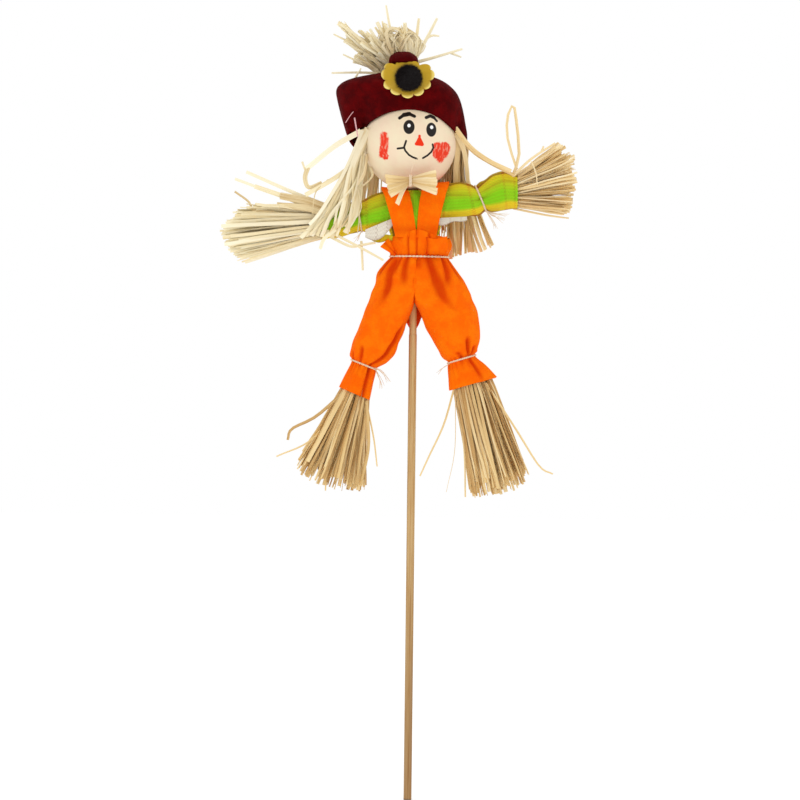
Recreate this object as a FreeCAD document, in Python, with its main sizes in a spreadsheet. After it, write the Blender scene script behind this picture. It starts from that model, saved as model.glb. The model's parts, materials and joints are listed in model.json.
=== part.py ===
import FreeCAD, Part
import Sketcher

import os

from FreeCAD import Placement, Rotation, Vector

# Scarecrow on a stick, a garden and flower-pot decoration.  All sizes are in millimetres.
# +Z runs up the stick, the figure looks along -Y, and +X is the figure's own left.
# The origin is the centre of the stick's bottom end, which is pushed into soil or foam.

SIZES = {
    # stick
    "stick_dia": 5.0,
    "stick_run": 292.0,           # full-diameter stretch, from the bottom end to the shaved seat
    "stick_seat_dia": 4.6,        # shaved top stretch that the figure is tied to
    "stick_top": 424.0,
    # fits and gaps
    "turn_fit": 0.05,             # radial play of the head's bore on the stick
    "swing_gap": 0.4,             # gap between a limb and the trunk that it swings on
    "lay_gap": 0.2,               # gap between cloth that lies on cloth
    "tie_fit": 0.05,              # gap between a string and the cloth that it gathers
    "string_dia": 1.3,
    # head
    "chin_height": 382.5,         # underside of the ball, just above the neck
    "head_dia": 58.0,
    "head_shift": 3.3,            # the ball's centre stands this far off the stick, to the right
    "cover_wall": 0.6,
    "neck_hole": 8.0,
    "hat_ease_wide": 9.4,         # the rim stands this far outside the ball, sideways
    "hat_ease_deep": 2.0,         # and to the front and back
    "hat_tip": 34.0,              # the rim is tipped back by this angle
    "hat_rise": 17.0,             # from the top of the ball to the gathered top
    "gather_shift": 4.6,          # the gathered top stands this far to the right of the ball
    "gather_wide": 4.6,
    "gather_deep": 4.2,
    "frill_tall": 11.5,
    "flower_dia": 32.0,
    "flower_shift": 2.0,
    "flower_inset": 8.2,          # the flower's back lies this far behind the front of the ball
    "flower_lift": 14.3,          # and this far above its top
    "flower_tip": 62.0,           # the flower is tipped forwards by this angle from flat
    "petal_count": 12.0,
    "petal_dia": 8.8,
    "felt_wall": 1.2,
    "pompom_dia": 16.0,
    "pompom_shift": 1.2,
    "pompom_drop": 6.3,           # down the flower from its centre
    "tuft_tall": 41.5,
    "tuft_wide": 37.0,
    "hair_gap": 0.6,              # between the ball and the curtain of strands
    "hair_deep": 3.4,
    "hair_sweep": 90.0,
    "hair_drop": 13.0,
    "hair_rise": 13.0,            # the strands run this far up under the hat
    "hair_start_left": -8.0,      # where each curtain begins, round the ball from +X
    "hair_start_right": 102.0,
    # trunk
    "neck_height": 380.6,
    "chest_height": 366.0,
    "waist_height": 341.0,
    "trunk_wide": 9.5,
    "trunk_deep": 8.0,
    "shirt_wide": 17.2,
    "shirt_deep": 12.4,
    "shirt_hem": 351.0,
    "waist_wide": 17.4,
    "waist_deep": 10.6,
    "waist_shift": 3.4,
    "frill_rise": 16.0,           # ruffle above the waist string
    "hip_wide": 26.5,
    "hip_deep": 15.0,
    "strap_wide": 15.0,
    "strap_foot": 7.3,            # half distance between the straps at the waist
    "strap_head": 13.6,           # and at the shoulders
    "strap_fold": 8.5,            # from the stick to the fold over the shoulder
    "fold_rise_left": 2.6,        # top of each fold above the neck
    "fold_rise_right": 1.1,
    "bow_height": 388.6,
    "bow_shift": 2.9,
    "bow_inset": 3.5,             # the bow's middle lies this far behind the front of the ball
    "bow_wall": 2.2,
    "bow_knot": 2.2,              # half height of the bow at its knot
    "bow_thread_dia": 0.8,
    "bow_reach": 15.8,
    "bow_tall": 17.0,
    "bow_tip": 33.0,
    # arms
    "shoulder_height": 373.2,
    "shoulder_span": 44.0,
    "shoulder_dia": 19.0,
    "arm_slope": 8.5,             # the arms' line rises towards the figure's left hand
    "arm_dia": 16.0,
    "wrist_dia": 17.4,
    "cuff_dia": 25.0,
    "hand_tall": 45.0,
    "hand_deep": 32.0,
    "wrist_run_left": 19.0,
    "wrist_run_right": 13.5,
    "cuff_run_left": 42.0,
    "cuff_run_right": 37.0,
    "hand_run_left": 78.0,
    "hand_run_right": 99.0,
    # legs
    "hip_height": 320.0,
    "hip_dia": 26.0,
    "hip_off_left": 12.5,         # from the stick's side to the middle of each thigh
    "hip_off_right": 11.5,
    "leg_spread": 20.0,
    "foot_spread": 17.0,
    "leg_deep": 10.4,
    "thigh_left": 15.6,
    "thigh_right": 14.2,
    "ankle_dia": 16.4,
    "hem_left": 14.2,
    "hem_right": 10.6,
    "hem_run": 17.0,
    "foot_deep": 26.0,
    "ankle_run_left": 46.0,
    "ankle_run_right": 50.0,
    "foot_run_left": 80.0,
    "foot_run_right": 77.0,
    "foot_left": 18.5,
    "foot_right": 22.0,
}

# Sizes that follow from the ones above.
WORKED_OUT = {
    "head_height": "(chin_height + head_dia / 2)",
    "hair_inside": "(head_dia / 2 + hair_gap)",
    "hat_wide": "(head_dia / 2 + hat_ease_wide)",
    "hat_deep": "(head_dia / 2 + hat_ease_deep)",
    "hat_tall": "(head_dia / 2 + hat_rise)",
    "flower_front": "(head_dia / 2 - flower_inset)",
    "flower_rise": "(head_dia / 2 + flower_lift)",
    "bow_depth": "(head_dia / 2 - bow_inset)",
    "hip_left": "(stick_dia / 2 + hip_off_left)",
    "hip_right": "(stick_dia / 2 + hip_off_right)",
}

UPRIGHT = Vector(0, 1, 0)         # leans turn about this axis
SIDEWAYS = Vector(1, 0, 0)        # tips turn about this axis

doc = FreeCAD.newDocument("scarecrow")
sheet = doc.addObject("Spreadsheet::Sheet", "sizes")
for row, (alias, value) in enumerate(SIZES.items(), start=1):
    sheet.set(f"A{row}", alias)
    sheet.set(f"B{row}", str(value))
    sheet.setAlias(f"B{row}", alias)
doc.recompute()

nodes = []


def sized(text):
    """Return the expression with every size's name tied to the sheet or worked out."""
    words = []
    word = ""
    for sign in text + " ":
        if sign.isalnum() or sign == "_":
            word += sign
            continue
        if word in WORKED_OUT:
            words.append(sized(WORKED_OUT[word]))
        else:
            words.append(f"sizes.{word}" if word in SIZES else word)
        words.append(sign)
        word = ""
    return "".join(words)


def bind(thing, **sizes):
    """Tie properties to expressions; a double underscore stands for a dot."""
    for name, text in sizes.items():
        thing.setExpression(name.replace("__", "."), sized(text))
    return thing


def place(thing, x="0", y="0", z="0", axis=UPRIGHT, angle="0"):
    """Tie a thing's place and its turn about one axis to expressions."""
    thing.Placement = Placement(Vector(), Rotation(axis, 1))
    thing.setExpression("Placement.Base.x", sized(x))
    thing.setExpression("Placement.Base.y", sized(y))
    thing.setExpression("Placement.Base.z", sized(z))
    thing.setExpression("Placement.Rotation.Angle", sized(angle))
    return thing


def node(thing, label):
    """Keep a finished sub-part under its own name."""
    thing.Label = label
    nodes.append(thing)
    return thing


def section(name, x, z, wide, deep, lean="0", y="0", axis=UPRIGHT):
    """Elliptical section across the Z axis: half width and half depth, then leaned."""
    ellipse = doc.addObject("Part::Ellipse", name)
    ellipse.MajorRadius = 1000
    ellipse.MinorRadius = 1
    bind(ellipse, MajorRadius=wide, MinorRadius=deep)
    return place(ellipse, x, y, z, axis, lean)


def loft(name, sections):
    """Solid with straight sides from one section to the next."""
    made = doc.addObject("Part::Loft", name)
    made.Sections = sections
    made.Solid = True
    made.Ruled = True
    return made


def column(name, rows, shift="0"):
    """Upright loft; each row is a height, a half width and a half depth."""
    rings = [section(f"{name}_{i}", shift, *row) for i, row in enumerate(rows)]
    return loft(name, rings)


def cylinder(name, radius, height):
    return bind(doc.addObject("Part::Cylinder", name), Radius=radius, Height=height)


def ball(name, radius):
    return bind(doc.addObject("Part::Sphere", name), Radius=radius)


def ring(name, radius, string="string_dia / 2"):
    return bind(doc.addObject("Part::Torus", name), Radius1=radius, Radius2=string)


def cut(name, base, *tools):
    """Base less one or more tools."""
    made = doc.addObject("Part::Cut", name)
    made.Base = base
    made.Tool = tools[0] if len(tools) == 1 else fuse(f"{name}_tools", *tools)
    return made


def fuse(name, *shapes):
    made = doc.addObject("Part::MultiFuse", name)
    made.Shapes = list(shapes)
    return made


def plane(body, role):
    """Return one of a body's own origin planes."""
    return next(f for f in body.Origin.OriginFeatures if f.Role == role)


def sketch_on(body, name, role="XY_Plane"):
    made = body.newObject("Sketcher::SketchObject", name)
    made.AttachmentSupport = (plane(body, role), [""])
    made.MapMode = "FlatFace"
    return made


def outline(sketch, corners):
    """Closed outline through corners, each corner's place tied to expressions."""
    count = len(corners)
    start = [Vector(i, (i * i) % 7, 0) for i in range(count)]
    for i in range(count):
        sketch.addGeometry(Part.LineSegment(start[i], start[(i + 1) % count]), False)
    for i in range(count):
        sketch.addConstraint(Sketcher.Constraint("Coincident", i, 2, (i + 1) % count, 1))
    for i, (across, along) in enumerate(corners):
        for kind, text in (("DistanceX", across), ("DistanceY", along)):
            value = start[i].x if kind == "DistanceX" else start[i].y
            mark = sketch.addConstraint(Sketcher.Constraint(kind, -1, 1, i, 1, value))
            sketch.setExpression(f"Constraints[{mark}]", sized(text))


def disc(sketch, across, radius):
    """Circle on the sketch's X axis, its centre and radius tied to expressions."""
    sketch.addGeometry(Part.Circle(Vector(5, 0, 0), Vector(0, 0, 1), 2), False)
    sketch.addConstraint(Sketcher.Constraint("PointOnObject", 0, 3, -1))
    place_mark = sketch.addConstraint(Sketcher.Constraint("DistanceX", -1, 1, 0, 3, 5))
    size_mark = sketch.addConstraint(Sketcher.Constraint("Radius", 0, 2))
    sketch.setExpression(f"Constraints[{place_mark}]", sized(across))
    sketch.setExpression(f"Constraints[{size_mark}]", sized(radius))


# ---- stick -------------------------------------------------------------------------------

def make_stick():
    """Round dowel, shaved a little thinner where the figure sits on it."""
    body = doc.addObject("PartDesign::Body", "stick")
    profile = sketch_on(body, "stick_profile", "XZ_Plane")
    outline(profile, [
        ("0", "0"),
        ("stick_dia / 2", "0"),
        ("stick_dia / 2", "stick_run"),
        ("stick_seat_dia / 2", "stick_run"),
        ("stick_seat_dia / 2", "stick_top"),
        ("0", "stick_top"),
    ])
    turned = body.newObject("PartDesign::Revolution", "stick_turned")
    turned.Profile = profile
    turned.ReferenceAxis = (profile, ["V_Axis"])
    turned.Angle = 360
    return node(body, "stick")


# ---- trunk -------------------------------------------------------------------------------

SEAT_RADIUS = "stick_seat_dia / 2"
FRILL_TOP = "waist_height + frill_rise"


def stick_bore(name):
    """Cylinder the size of the shaved seat, right up the stick."""
    return cylinder(name, SEAT_RADIUS, "stick_top")


def make_trunk():
    """Raffia core tied round the stick, with a narrow neck for the neck string."""
    core = column("trunk_core", [
        ("hip_height + hip_dia / 2 + swing_gap + 0.6", "trunk_wide * 0.8", "trunk_deep * 0.85"),
        ("waist_height", "trunk_wide * 0.95", "trunk_deep * 0.9"),
        ("chest_height", "trunk_wide", "trunk_deep"),
        ("neck_height - 8", "trunk_wide", "trunk_deep"),
        ("neck_height - string_dia - 2", "trunk_wide * 0.6", "trunk_wide * 0.6"),
        ("neck_height", "trunk_wide * 0.6", "trunk_wide * 0.6"),
    ])
    node(cut("trunk_raffia", core, stick_bore("trunk_bore")), "trunk_raffia")
    neck = ring("neck_tie", "trunk_wide * 0.6 + tie_fit + string_dia / 2")
    place(neck, z="neck_height - string_dia / 2 - 0.3")
    node(neck, "neck_tie")
    return core


def shoulder(name, sign, radius):
    """Ball on a shoulder's pivot; sign is 1 on the figure's left and -1 on its right."""
    made = ball(name, radius)
    return place(made, x=f"{sign} * shoulder_span / 2",
                 z=f"shoulder_height + {sign} * shoulder_span / 2 * tan(arm_slope)")


def make_shirt(core):
    """Chest of the shirt, hollowed at both sides for the shoulders."""
    cloth = column("shirt_cloth", [
        ("shirt_hem", "shirt_wide * 0.78", "shirt_deep * 0.92"),
        ("shirt_hem + 7", "shirt_wide * 0.95", "shirt_deep"),
        ("chest_height + 10", "shirt_wide", "shirt_deep"),
        ("neck_height - string_dia - 0.4", "shirt_wide * 0.66", "shirt_deep * 0.85"),
    ])
    hollow = "shoulder_dia / 2 + swing_gap"
    hollows = [shoulder(f"shirt_hollow_{i}", sign, hollow) for i, sign in enumerate((-1, 1))]
    node(cut("shirt_body", cloth, core, stick_bore("shirt_bore"), *hollows), "shirt_body")
    return cloth


def make_trousers(core, cloth):
    """Seat of the trousers, the ruffle above the waist and the string between them."""
    seat = column("seat_cloth", [
        ("hip_height", "hip_wide", "hip_deep"),
        ("waist_height - 11", "hip_wide * 0.97", "hip_deep * 0.97"),
        ("waist_height - 4", "waist_wide * 1.17", "waist_deep * 1.15"),
        ("waist_height - string_dia * 0.7", "waist_wide", "waist_deep"),
        ("waist_height", "waist_wide", "waist_deep"),
    ], shift="waist_shift")
    axle = cylinder("seat_hollow", "hip_dia / 2 + swing_gap", "hip_wide * 4")
    place(axle, x="-hip_wide * 2", z="hip_height", angle="90")
    node(cut("trouser_seat", seat, core, axle, stick_bore("seat_bore")), "trouser_seat")
    ruffle = column("frill_cloth", [
        ("waist_height", "waist_wide", "waist_deep"),
        ("waist_height + string_dia * 0.7", "waist_wide", "waist_deep"),
        ("waist_height + 8", "waist_wide * 1.15", "shirt_deep + 2.2"),
        (FRILL_TOP, "waist_wide * 0.97", "shirt_deep + 2.2"),
    ], shift="waist_shift")
    node(cut("waist_frill", ruffle, core, cloth, stick_bore("frill_bore")), "waist_frill")
    make_waist_tie()


def make_waist_tie():
    """Round string on the waist's elliptical neck."""
    grow = "tie_fit + string_dia / 2"
    path = section("waist_path", "waist_shift", "waist_height", f"waist_wide + {grow}",
                   f"waist_deep + {grow}")
    thread = doc.addObject("Part::Circle", "waist_thread")
    bind(thread, Radius="string_dia / 2")
    place(thread, x=f"waist_shift + waist_wide + {grow}", z="waist_height",
          axis=SIDEWAYS, angle="90")
    tie = doc.addObject("Part::Sweep", "waist_tie")
    tie.Sections = [thread]
    tie.Spine = (path, ["Edge1"])
    tie.Solid = True
    tie.Frenet = True
    node(tie, "waist_tie")


def strap_plate(name, sign, lift, front):
    """Flat felt strip that leans outwards from the waist ruffle to the shoulder."""
    body = doc.addObject("PartDesign::Body", name)
    profile = sketch_on(body, f"{name}_outline", "XZ_Plane")
    foot = f"{sign} * strap_foot + waist_shift / 3"
    head = f"{sign} * strap_head + waist_shift / 3"
    top = f"neck_height + 2.8 + {lift}"
    slope = "strap_wide / 2 * tan(arm_slope)"
    outline(profile, [
        (f"{foot} - strap_wide * 0.45", FRILL_TOP),
        (f"{foot} + strap_wide * 0.45", FRILL_TOP),
        (f"{head} + strap_wide / 2", f"{top} + {slope}"),
        (f"{head} - strap_wide / 2", f"{top} - {slope}"),
    ])
    felt = body.newObject("PartDesign::Pad", f"{name}_felt")
    felt.Profile = profile
    bind(felt, Length="felt_wall")
    near = "shirt_deep + lay_gap"
    place(body, y=f"-({near})" if front else f"{near} + felt_wall")
    return body


def make_strap(side, sign):
    """One strap: a strip in front, a strip behind and the fold over the shoulder."""
    lift = f"{sign} * strap_head * tan(arm_slope)"
    bar = doc.addObject("Part::Box", f"strap_fold_{side}")
    bind(bar, Length="strap_wide / 3", Height="felt_wall",
         Width="2 * (shirt_deep + lay_gap + felt_wall)")
    edge = "strap_fold" if sign > 0 else "-(strap_fold + strap_wide / 3)"
    place(bar, x=edge, y="-(shirt_deep + lay_gap + felt_wall)",
          z=f"neck_height + fold_rise_{side} - felt_wall")
    front = strap_plate(f"strap_front_{side}", sign, lift, True)
    back = strap_plate(f"strap_back_{side}", sign, lift, False)
    node(fuse(f"strap_{side}", front, bar, back), f"strap_{side}")


def make_bow():
    """Raffia bow: two wings that widen from the knot, and the thread round the knot."""
    wings = []
    for name, turn in (("bow_wing_left", "0"), ("bow_wing_right", "180")):
        wing = doc.addObject("Part::Wedge", name)
        bind(wing, Xmin="-bow_knot", Xmax="bow_knot", Zmin="-bow_knot * 0.6", Zmax="bow_knot * 0.6",
             Ymin="0", Ymax="bow_reach", X2min="-bow_tall / 2", X2max="bow_tall / 2",
             Z2min="-bow_wall / 2", Z2max="bow_wall / 2")
        place(wing, axis=Vector(0, 0, 1), angle=turn)
        wings.append(wing)
    loops = fuse("bow_loops", *wings)
    # the wedges grow along Y: lay them along X, then tip the bow back to follow the chin
    loops.Placement = Placement(Vector(), Rotation(Vector(0, 0, 1), -90))
    bow = doc.addObject("Part::Compound", "bow_tie")
    bow.Links = [loops]
    place(bow, x="-bow_shift", y="-bow_depth", z="bow_height", axis=SIDEWAYS,
          angle="90 + bow_tip")
    node(bow, "bow_tie")
    thread = ring("bow_thread", "bow_knot * 1.17 + tie_fit + bow_thread_dia / 2", "bow_thread_dia / 2")
    place(thread, x="-bow_shift", y="-bow_depth", z="bow_height", angle="90")
    node(thread, "bow_thread")


# ---- head --------------------------------------------------------------------------------

def on_head(thing, x="0", y="0", z="0", axis=UPRIGHT, angle="0"):
    """Place a thing from the ball's centre."""
    return place(thing, f"({x}) - head_shift", y, f"head_height + {z}", axis, angle)


def make_head():
    """Foam ball with a blind bore for the stick, and the cloth stretched over it."""
    foam = on_head(ball("foam", "head_dia / 2 - cover_wall"))
    bore = place(cylinder("head_bore", "stick_seat_dia / 2 + turn_fit",
                          "stick_top + 0.3 - head_height + head_dia"), z="head_height - head_dia")
    node(cut("head_core", foam, bore), "head_core")
    skin = on_head(ball("skin", "head_dia / 2"))
    inner = on_head(ball("skin_inner", "head_dia / 2 - cover_wall"))
    hole = place(cylinder("neck_opening", "neck_hole / 2", "head_dia"),
                 z="head_height - head_dia")
    node(cut("head_cover", skin, inner, hole), "head_cover")
    return skin


def hat_section(name, x, y, z, wide, deep, tip):
    """Section of the hat, tipped back about the X axis."""
    return section(name, f"({x}) - head_shift", f"head_height + {z}", wide, deep,
                   f"-({tip})", y, SIDEWAYS)


def make_hat(skin):
    """Felt hat: tipped-back rim, soft crown gathered by a string, and a frill above it."""
    crown = loft("hat_crown", [
        hat_section("hat_rim", "-2", "6", "5.5", "hat_wide", "hat_deep", "hat_tip"),
        hat_section("hat_side", "-6", "6", "20", "hat_wide", "hat_deep", "hat_tip * 0.55"),
        hat_section("hat_brow", "-9.5", "4", "hat_tall - 12", "hat_wide * 0.95",
                    "hat_deep * 0.88", "hat_tip * 0.15"),
        hat_section("hat_dome", "-8.5", "2", "hat_tall - 4", "hat_wide * 0.68",
                    "hat_deep * 0.58", "0"),
        hat_section("hat_gather", "-gather_shift", "0", "hat_tall", "gather_wide",
                    "gather_deep", "0"),
        hat_section("hat_knot", "-gather_shift", "0", "hat_tall + string_dia * 1.2",
                    "gather_wide", "gather_deep", "0"),
        hat_section("hat_frill_low", "-gather_shift", "0", "hat_tall + frill_tall * 0.43",
                    "gather_wide * 1.52", "gather_deep * 1.19", "0"),
        hat_section("hat_frill_top", "-gather_shift", "0", "hat_tall + frill_tall",
                    "gather_wide * 1.87", "gather_deep * 1.19", "0"),
    ])
    node(cut("hat", crown, skin), "hat")
    tie = ring("hat_tie", "gather_wide + tie_fit + string_dia / 2")
    on_head(tie, x="-gather_shift", z="hat_tall + string_dia * 0.6")
    node(tie, "hat_tie")
    return crown


GLUED_FACE = 55                   # latitude of the pompom's flat back, in degrees


def make_flower():
    """Felt sunflower pinned to the front of the hat, and the pompom glued to it."""
    body = doc.addObject("PartDesign::Body", "sunflower_petals")
    heart = sketch_on(body, "flower_heart")
    disc(heart, "0.001", "flower_dia / 2 - petal_dia * 0.55")
    plate = body.newObject("PartDesign::Pad", "flower_plate")
    plate.Profile = heart
    bind(plate, Length="felt_wall")
    lobe = sketch_on(body, "petal_outline")
    disc(lobe, "flower_dia / 2 - petal_dia / 2", "petal_dia / 2")
    petal = body.newObject("PartDesign::Pad", "petal")
    petal.Profile = lobe
    bind(petal, Length="felt_wall")
    doc.recompute()
    round_heart = body.newObject("PartDesign::PolarPattern", "petals")
    round_heart.Originals = [petal]
    round_heart.Axis = (lobe, ["N_Axis"])
    round_heart.Angle = 360
    round_heart.setExpression("Occurrences", "sizes.petal_count")
    body.Tip = round_heart
    on_head(body, x="-flower_shift", y="-flower_front", z="flower_rise", axis=SIDEWAYS,
            angle="flower_tip")
    node(body, "sunflower_petals")
    tuft = bind(doc.addObject("Part::Sphere", "pompom"), Radius="pompom_dia / 2")
    tuft.Angle1 = -GLUED_FACE
    lift = f"(felt_wall + pompom_dia / 2 * sin({GLUED_FACE}) + lay_gap / 4)"
    on_head(tuft, x="-pompom_shift",
            y=f"-flower_front - {lift} * sin(flower_tip) - pompom_drop * cos(flower_tip)",
            z=f"flower_rise + {lift} * cos(flower_tip) - pompom_drop * sin(flower_tip)",
            axis=SIDEWAYS, angle="flower_tip")
    node(tuft, "pompom")


def make_hair(crown):
    """Strands glued in under the hat: a curtain at each side and a tuft at the top."""
    for side in ("left", "right"):
        curtain = cylinder(f"curtain_{side}", "hair_inside + hair_deep", "hair_drop + hair_rise")
        bind(curtain, Angle="hair_sweep")
        on_head(curtain, z="-hair_drop", axis=Vector(0, 0, 1), angle=f"hair_start_{side}")
        inside = on_head(cylinder(f"curtain_inside_{side}", "hair_inside", "hair_drop + 40"),
                         z="-hair_drop - 5")
        strands = cut(f"curtain_strands_{side}", curtain, inside)
        node(cut(f"hair_{side}", strands, crown), f"hair_{side}")
    burst = loft("tuft_burst", [
        hat_section("tuft_root", "-9", "9.5", "hat_tall - 4", "6", "4", "0"),
        hat_section("tuft_neck", "-10", "10", "hat_tall + 2", "8", "4.6", "0"),
        hat_section("tuft_mid", "-8", "12", "hat_tall + tuft_tall / 2", "tuft_wide * 0.65", "13", "0"),
        hat_section("tuft_tips", "-7", "13", "hat_tall + tuft_tall", "tuft_wide", "20", "0"),
    ])
    node(cut("hair_tuft", burst, crown), "hair_tuft")


# ---- arms --------------------------------------------------------------------------------

def make_arm(side, sign):
    """Raffia arm on its shoulder pivot, with a sleeve tied at the wrist and open at the cuff."""
    lean = "90 - arm_slope"

    def across(name, run, tall, deep):
        """Section across the arm, at a run from the shoulder's pivot."""
        x = f"{sign} * (shoulder_span / 2 + ({run}) * cos(arm_slope))"
        rise = f"shoulder_span / 2 * tan(arm_slope) + ({run}) * sin(arm_slope)"
        return section(f"{name}_{side}", x, f"shoulder_height + {sign} * ({rise})",
                       tall, deep, lean)

    def bundle(name):
        """Strands from the shoulder through the wrist to the spread finger tips."""
        strands = loft(f"{name}_strands_{side}", [
            across(f"{name}_root", "0", "arm_dia / 2", "arm_dia / 2"),
            across(f"{name}_wrist", wrist, "wrist_dia / 2 - 1.2", "wrist_dia / 2 - 1.2"),
            across(f"{name}_cuff", cuff, "cuff_dia / 2 - 1.6", "cuff_dia / 2 - 2.6"),
            across(f"{name}_palm", f"({cuff} + {hand}) / 2", "hand_tall * 0.38", "hand_deep * 0.38"),
            across(f"{name}_tips", hand, "hand_tall / 2", "hand_deep / 2"),
        ])
        return fuse(f"{name}_{side}", shoulder(f"{name}_ball_{side}", sign, "arm_dia / 2"), strands)

    wrist = f"wrist_run_{side}"
    cuff = f"cuff_run_{side}"
    hand = f"hand_run_{side}"
    raffia = node(bundle("arm_raffia"), f"arm_raffia_{side}")
    tube = loft(f"sleeve_tube_{side}", [
        across("sleeve_root", "0", "shoulder_dia / 2 - 0.2", "shoulder_dia / 2 - 0.2"),
        across("sleeve_mid", f"{wrist} * 0.6", "shoulder_dia / 2 + 0.1", "shoulder_dia / 2 + 0.1"),
        across("sleeve_wrist_in", f"{wrist} - string_dia * 0.7", "wrist_dia / 2", "wrist_dia / 2"),
        across("sleeve_wrist_out", f"{wrist} + string_dia * 0.7", "wrist_dia / 2", "wrist_dia / 2"),
        across("sleeve_bulge", f"({wrist} + {cuff}) / 2", "cuff_dia / 2", "cuff_dia / 2 - 0.5"),
        across("sleeve_cuff", cuff, "cuff_dia / 2 - 0.4", "cuff_dia / 2 - 1"),
    ])
    cap = shoulder(f"sleeve_cap_{side}", sign, "shoulder_dia / 2")
    node(cut(f"sleeve_{side}", fuse(f"sleeve_cloth_{side}", cap, tube), raffia), f"sleeve_{side}")
    tie = ring(f"wrist_tie_{side}", "wrist_dia / 2 + tie_fit + string_dia / 2")
    rise = f"shoulder_span / 2 * tan(arm_slope) + {wrist} * sin(arm_slope)"
    place(tie, x=f"{sign} * (shoulder_span / 2 + {wrist} * cos(arm_slope))",
          z=f"shoulder_height + {sign} * ({rise})", angle=lean)
    node(tie, f"wrist_tie_{side}")


# ---- legs --------------------------------------------------------------------------------

def make_leg(side, sign):
    """Raffia leg on its hip axis, in a trouser leg tied at the ankle, open at the hem."""
    hip = f"hip_{side}"
    ankle = f"ankle_run_{side}"
    foot = f"foot_run_{side}"
    reach = f"(hip_{side} - stick_dia / 2 - 0.7)"
    ankle_x = f"({hip} + {ankle} * sin(leg_spread))"
    ankle_z = f"(hip_height - {ankle} * cos(leg_spread))"

    def thigh(name, run, wide, deep):
        """Section across the thigh, at a run from the hip."""
        return section(f"{name}_{side}", f"{sign} * ({hip} + ({run}) * sin(leg_spread))",
                       f"hip_height - ({run}) * cos(leg_spread)", wide, deep,
                       f"{-sign} * leg_spread")

    def below(name, run, wide, deep):
        """Section across the foot, at a run from the ankle."""
        return section(f"{name}_{side}", f"{sign} * ({ankle_x} + ({run}) * sin(foot_spread))",
                       f"{ankle_z} - ({run}) * cos(foot_spread)", wide, deep,
                       f"{-sign} * foot_spread")

    strands = loft(f"leg_raffia_{side}", [
        thigh("leg_root", "-8", "7", "7"),
        thigh("leg_knee", f"{ankle} / 2", "9", "8.6"),
        thigh("leg_ankle", ankle, "ankle_dia / 2 - 1.2", "ankle_dia / 2 - 1.2"),
        below("leg_hem", "hem_run", f"hem_{side} - 2", "hem_right - 2"),
        below("leg_foot", f"{foot} * 0.6", f"foot_{side} * 0.8", "foot_deep * 0.42"),
        below("leg_tips", foot, f"foot_{side}", "foot_deep / 2"),
    ])
    raffia = node(strands, f"leg_raffia_{side}")
    tube = loft(f"trouser_tube_{side}", [
        thigh("trouser_hip", "0", reach, "leg_deep"),
        thigh("trouser_thigh", f"{ankle} * 0.45", f"thigh_{side}", "leg_deep + 1.6"),
        thigh("trouser_knee", f"{ankle} * 0.75", f"thigh_{side} * 0.9", "leg_deep + 1"),
        thigh("trouser_ankle_in", f"{ankle} - string_dia * 0.7", "ankle_dia / 2", "ankle_dia / 2"),
        thigh("trouser_ankle_out", f"{ankle} + string_dia * 0.7", "ankle_dia / 2", "ankle_dia / 2"),
        below("trouser_hem", "hem_run", f"hem_{side}", "hem_right"),
    ])
    barrel = cylinder(f"trouser_barrel_{side}", "hip_dia / 2", f"2 * {reach}")
    place(barrel, x=f"{sign} * {hip} - {reach}", z="hip_height", angle="90")
    cloth = fuse(f"trouser_cloth_{side}", barrel, tube)
    node(cut(f"trouser_leg_{side}", cloth, raffia), f"trouser_leg_{side}")
    tie = ring(f"ankle_tie_{side}", "ankle_dia / 2 + tie_fit + string_dia / 2")
    place(tie, x=f"{sign} * {ankle_x}", z=ankle_z, angle=f"{-sign} * leg_spread")
    node(tie, f"ankle_tie_{side}")


# ---- assembly ----------------------------------------------------------------------------

def main():
    """Build every sub-part, check it and write it out."""
    make_stick()
    core = make_trunk()
    cloth = make_shirt(core)
    make_trousers(core, cloth)
    make_bow()
    skin = make_head()
    crown = make_hat(skin)
    make_flower()
    make_hair(crown)
    for side, sign in (("left", 1), ("right", -1)):
        make_strap(side, sign)
        make_arm(side, sign)
        make_leg(side, sign)
    doc.recompute()
    failed = [o.Name for o in doc.Objects if {"Invalid", "Error"} & set(o.State)]
    failed += [o.Label for o in nodes if o.Shape.isNull() or not o.Shape.isValid()]
    if failed:
        raise RuntimeError(f"these did not build: {failed}")
    os.makedirs("parts", exist_ok=True)
    for part in nodes:
        part.Shape.exportStep(f"parts/{part.Label}.step")
        box = part.Shape.BoundBox
        print(f"{part.Label:18s} solids {len(part.Shape.Solids)} volume {part.Shape.Volume:9.1f} "
              f"x {box.XMin:7.1f} {box.XMax:7.1f} y {box.YMin:6.1f} {box.YMax:6.1f} "
              f"z {box.ZMin:6.1f} {box.ZMax:6.1f}")


main()
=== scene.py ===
"""Looks of the scarecrow on a stick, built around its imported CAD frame."""
import json
import logging
import math
import random
from dataclasses import dataclass, field
from enum import Enum
from typing import Callable, Iterable, Sequence

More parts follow.
